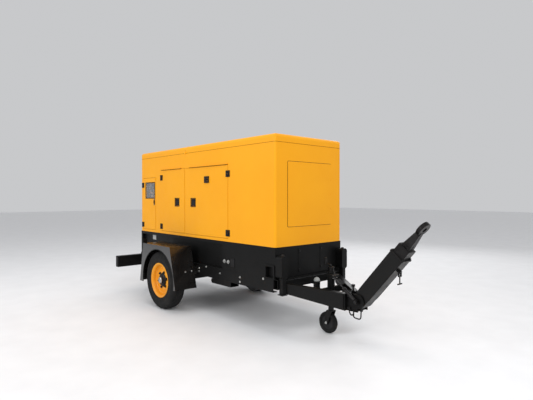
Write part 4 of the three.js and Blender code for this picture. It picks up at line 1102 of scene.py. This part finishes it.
def engine_details():
    x0, x1 = -1759.7, -899.7
    covers = bmesh.new()
    for i in range(4):
        low = x0 + 105 + i * 165
        prism(covers, rounded(low, low + 150, -82, 82, 24), "z", SHAFT_Z + 330.1, SHAFT_Z + 333)
    ribs = bmesh.new()
    for i in range(13):
        x = x0 + 110 + i * 50
        for side in BOTH:
            block(ribs, x, x + 14, side * 164.5, side * 178, SHAFT_Z - 180, SHAFT_Z + 120)
    finished("engine_rocker_gaskets", covers, SEAL, "root", 0.6, 2)
    finished("engine_block_ribs", ribs, ENGINE, "root", 3.0)
    studs = bmesh.new()
    for i in range(9):
        x = x0 + 100 + i * 80
        for side in BOTH:
            bolt(studs, "y", side * 110.2, side, x, SHAFT_Z + 205, 19, 0)
            bolt(studs, "y", side * 130.2, side, x + 30, SHAFT_Z - 215, 13, 0)
    for y in (-130, -65, 65, 130):
        for z in (-150, 130):
            bolt(studs, "x", x1 + 0.2, 1, y, SHAFT_Z + z, 15, 0)
    finished("engine_bolts", studs, DARK_ZINC, "root", 0.5, 2)
    filters = bmesh.new()
    for x in (x0 + 260, x0 + 400):
        can = [(0, 1190), (44, 1190), (48, 1182), (48, 1070), (44, 1062), (30, 1058), (0, 1058)]
        lathe(filters, can, "z", (x, -232), 40)
    finished("engine_filters", filters, BLACK, "root", 1.0)
    bracket = bmesh.new()
    block(bracket, x0 + 215, x0 + 445, -290, -165, 1186, 1206)
    finished("engine_filter_bracket", bracket, ENGINE, "root", 3.0)
    manifold = bmesh.new()
    for i in range(6):
        x = x0 + 150 + i * 100
        lathe(manifold, sleeve(0, 24, 108, 205), "y", (x, SHAFT_Z + 250), 28)
    lathe(manifold, [(0, x0 + 110), (30, x0 + 110), (36, x0 + 120), (36, x0 + 690), (30, x0 + 700),
                     (0, x0 + 700)], "x", (205, SHAFT_Z + 250), 36)
    finished("engine_exhaust_manifold", manifold, CASTING, "root", 2.0)
    pulley = bmesh.new()
    groove = [(0, -880), (70, -880), (70, -874), (60, -868), (70, -862), (70, -856), (60, -850),
              (70, -844), (70, -838), (0, -838)]
    lathe(pulley, groove, "x", (0, SHAFT_Z), 48)
    finished("engine_pulley", pulley, FORGED, "root", 0.8)


def alternator_details():
    x0, x1 = -2350, -1760
    fins = bmesh.new()
    count = 40
    for i in range(count):
        angle = 2 * math.pi * i / count
        a, b = math.cos(angle), math.sin(angle)
        if b < -0.35:
            continue
        outline = []
        for radius, offset in ((208, -4), (219, -3), (219, 3), (208, 4)):
            outline.append((radius * a - offset * b, SHAFT_Z - 60 + radius * b + offset * a))
        prism(fins, outline, "x", x0 + 80, x1 - 20)
    finished("alternator_fins", fins, CASTING, "root", 1.0, 2)
    grille = bmesh.new()
    for i in range(6):
        r = 30 + i * 20
        lathe(grille, sleeve(r, r + 9, x0 - 6, x0 - 0.2), "x", (0, SHAFT_Z - 60), 56)
    finished("alternator_grille", grille, BLACK, "root", 1.0, 2)
    lid = bmesh.new()
    block(lid, x0 + 112, x0 + 388, -158, 158, SHAFT_Z + 220.2, SHAFT_Z + 232)
    screws = bmesh.new()
    for x in (x0 + 128, x0 + 372):
        for y in (-142, 0, 142):
            bolt(screws, "z", SHAFT_Z + 231.8, 1, x, y, 12, 0)
    finished("alternator_lid", lid, CASTING, "root", 3.0)
    finished("alternator_lid_screws", screws, ZINC, "root", 0.5, 2)


def other_machinery():
    fan = bmesh.new()
    shape = [(0, -446), (52, -446), (56, -443), (58, -440.2), (0, -440.2)]
    lathe(fan, shape, "x", (0, SHAFT_Z), 40)
    finished("fan_hub_cover", fan, PLASTIC, "radiator_fan", 0.8)
    tanks = bmesh.new()
    block(tanks, -338, -232, -415, 415, 1546, 1582)
    block(tanks, -338, -232, -415, 415, 760, 792)
    finished("radiator_tanks", tanks, BLACK, "root", 6.0)
    cap = bmesh.new()
    shape = [(0, 1638.5), (34, 1638.5), (36, 1642), (36, 1650), (32, 1656), (0, 1657)]
    lathe(cap, shape, "z", (-285, 0), 32)
    finished("radiator_cap", cap, ZINC, "root", 0.6)
    straps = bmesh.new()
    barrel = (-150, 1895.7)
    for y in (-200, 200):
        lathe(straps, sleeve(100.3, 104, y - 22, y + 22), "y", barrel, 48)
    for y in (-331, 331):
        end = [(60, y - 4), (101, y - 4), (103, y), (101, y + 4), (60, y + 4), (60, y - 4)]
        lathe(straps, end, "y", barrel, 48)
    finished("muffler_straps", straps, FORGED, "root", 0.8)
    clips = bmesh.new()
    for x in (-1500, -1190):
        ring = [(90.3, x), (94, x), (95, x + 4), (95, x + 14), (94, x + 18), (90.3, x + 18),
                (90.3, x)]
        lathe(clips, ring, "x", (0, 1599.2), 48)
    finished("air_filter_bands", clips, ZINC, "root", 0.8)
    tops = bmesh.new()
    for i in range(6):
        shape = [(0, 958.8), (14, 958.8), (14, 964), (12, 966), (0, 966)]
        lathe(tops, shape, "z", (-2920 + i * 44, 310), 24)
    block(tops, -2944, -2676, 176, 359, 936, 950)
    finished("battery_lid", tops, PLASTIC, "root", 1.2)
    ridge = bmesh.new()
    count, radius = 24, 36.4
    for i in range(count):
        angle = 2 * math.pi * i / count
        a, b = -1350 + radius * math.cos(angle), -410 + radius * math.sin(angle)
        lathe(ridge, [(0, 899), (2.2, 899), (2.2, 916), (0, 917)], "z", (a, b), 8)
    finished("fuel_cap_ridges", ridge, RED, "fuel_cap", 0)
    button = bmesh.new()
    shape = [(18.4, 555.2), (24, 555.2), (25, 556.5), (24, 558.4), (18.4, 558.4), (18.4, 555.2)]
    turned(button, shape, RIGHT, (-1245, 1680.3), 40)
    finished("stop_button_collar", button, PLASTIC, "front_door_right", 0.4, 2)
    housing = bmesh.new()
    y0, y1 = -FACE - 0.2, -556.5
    surround(housing, (-1291, -1199, 1639, 1721.5), (-1269, -1221, 1648.5, 1712), y0, y1)
    for x0, x1, z0, z1 in ((-1269, -1221, 1701, 1712), (-1269, -1221, 1648.5, 1659)):
        block(housing, x0, x1, y0, y1, z0, z1)
    finished("stop_button_housing", housing, PLASTIC, "front_door_right", 1.4)


make_camera()
make_lights()
make_floor()
finish_cad()
hinges()
latches()
seals_and_linings()
window_and_lock()
seam_lines()
roof_and_cover()
tyres()
rims()
jockey_details()
base_details()
chassis_details()
drawbar_details()
dome_cylinder()
control_panel_details()
engine_details()
alternator_details()
other_machinery()
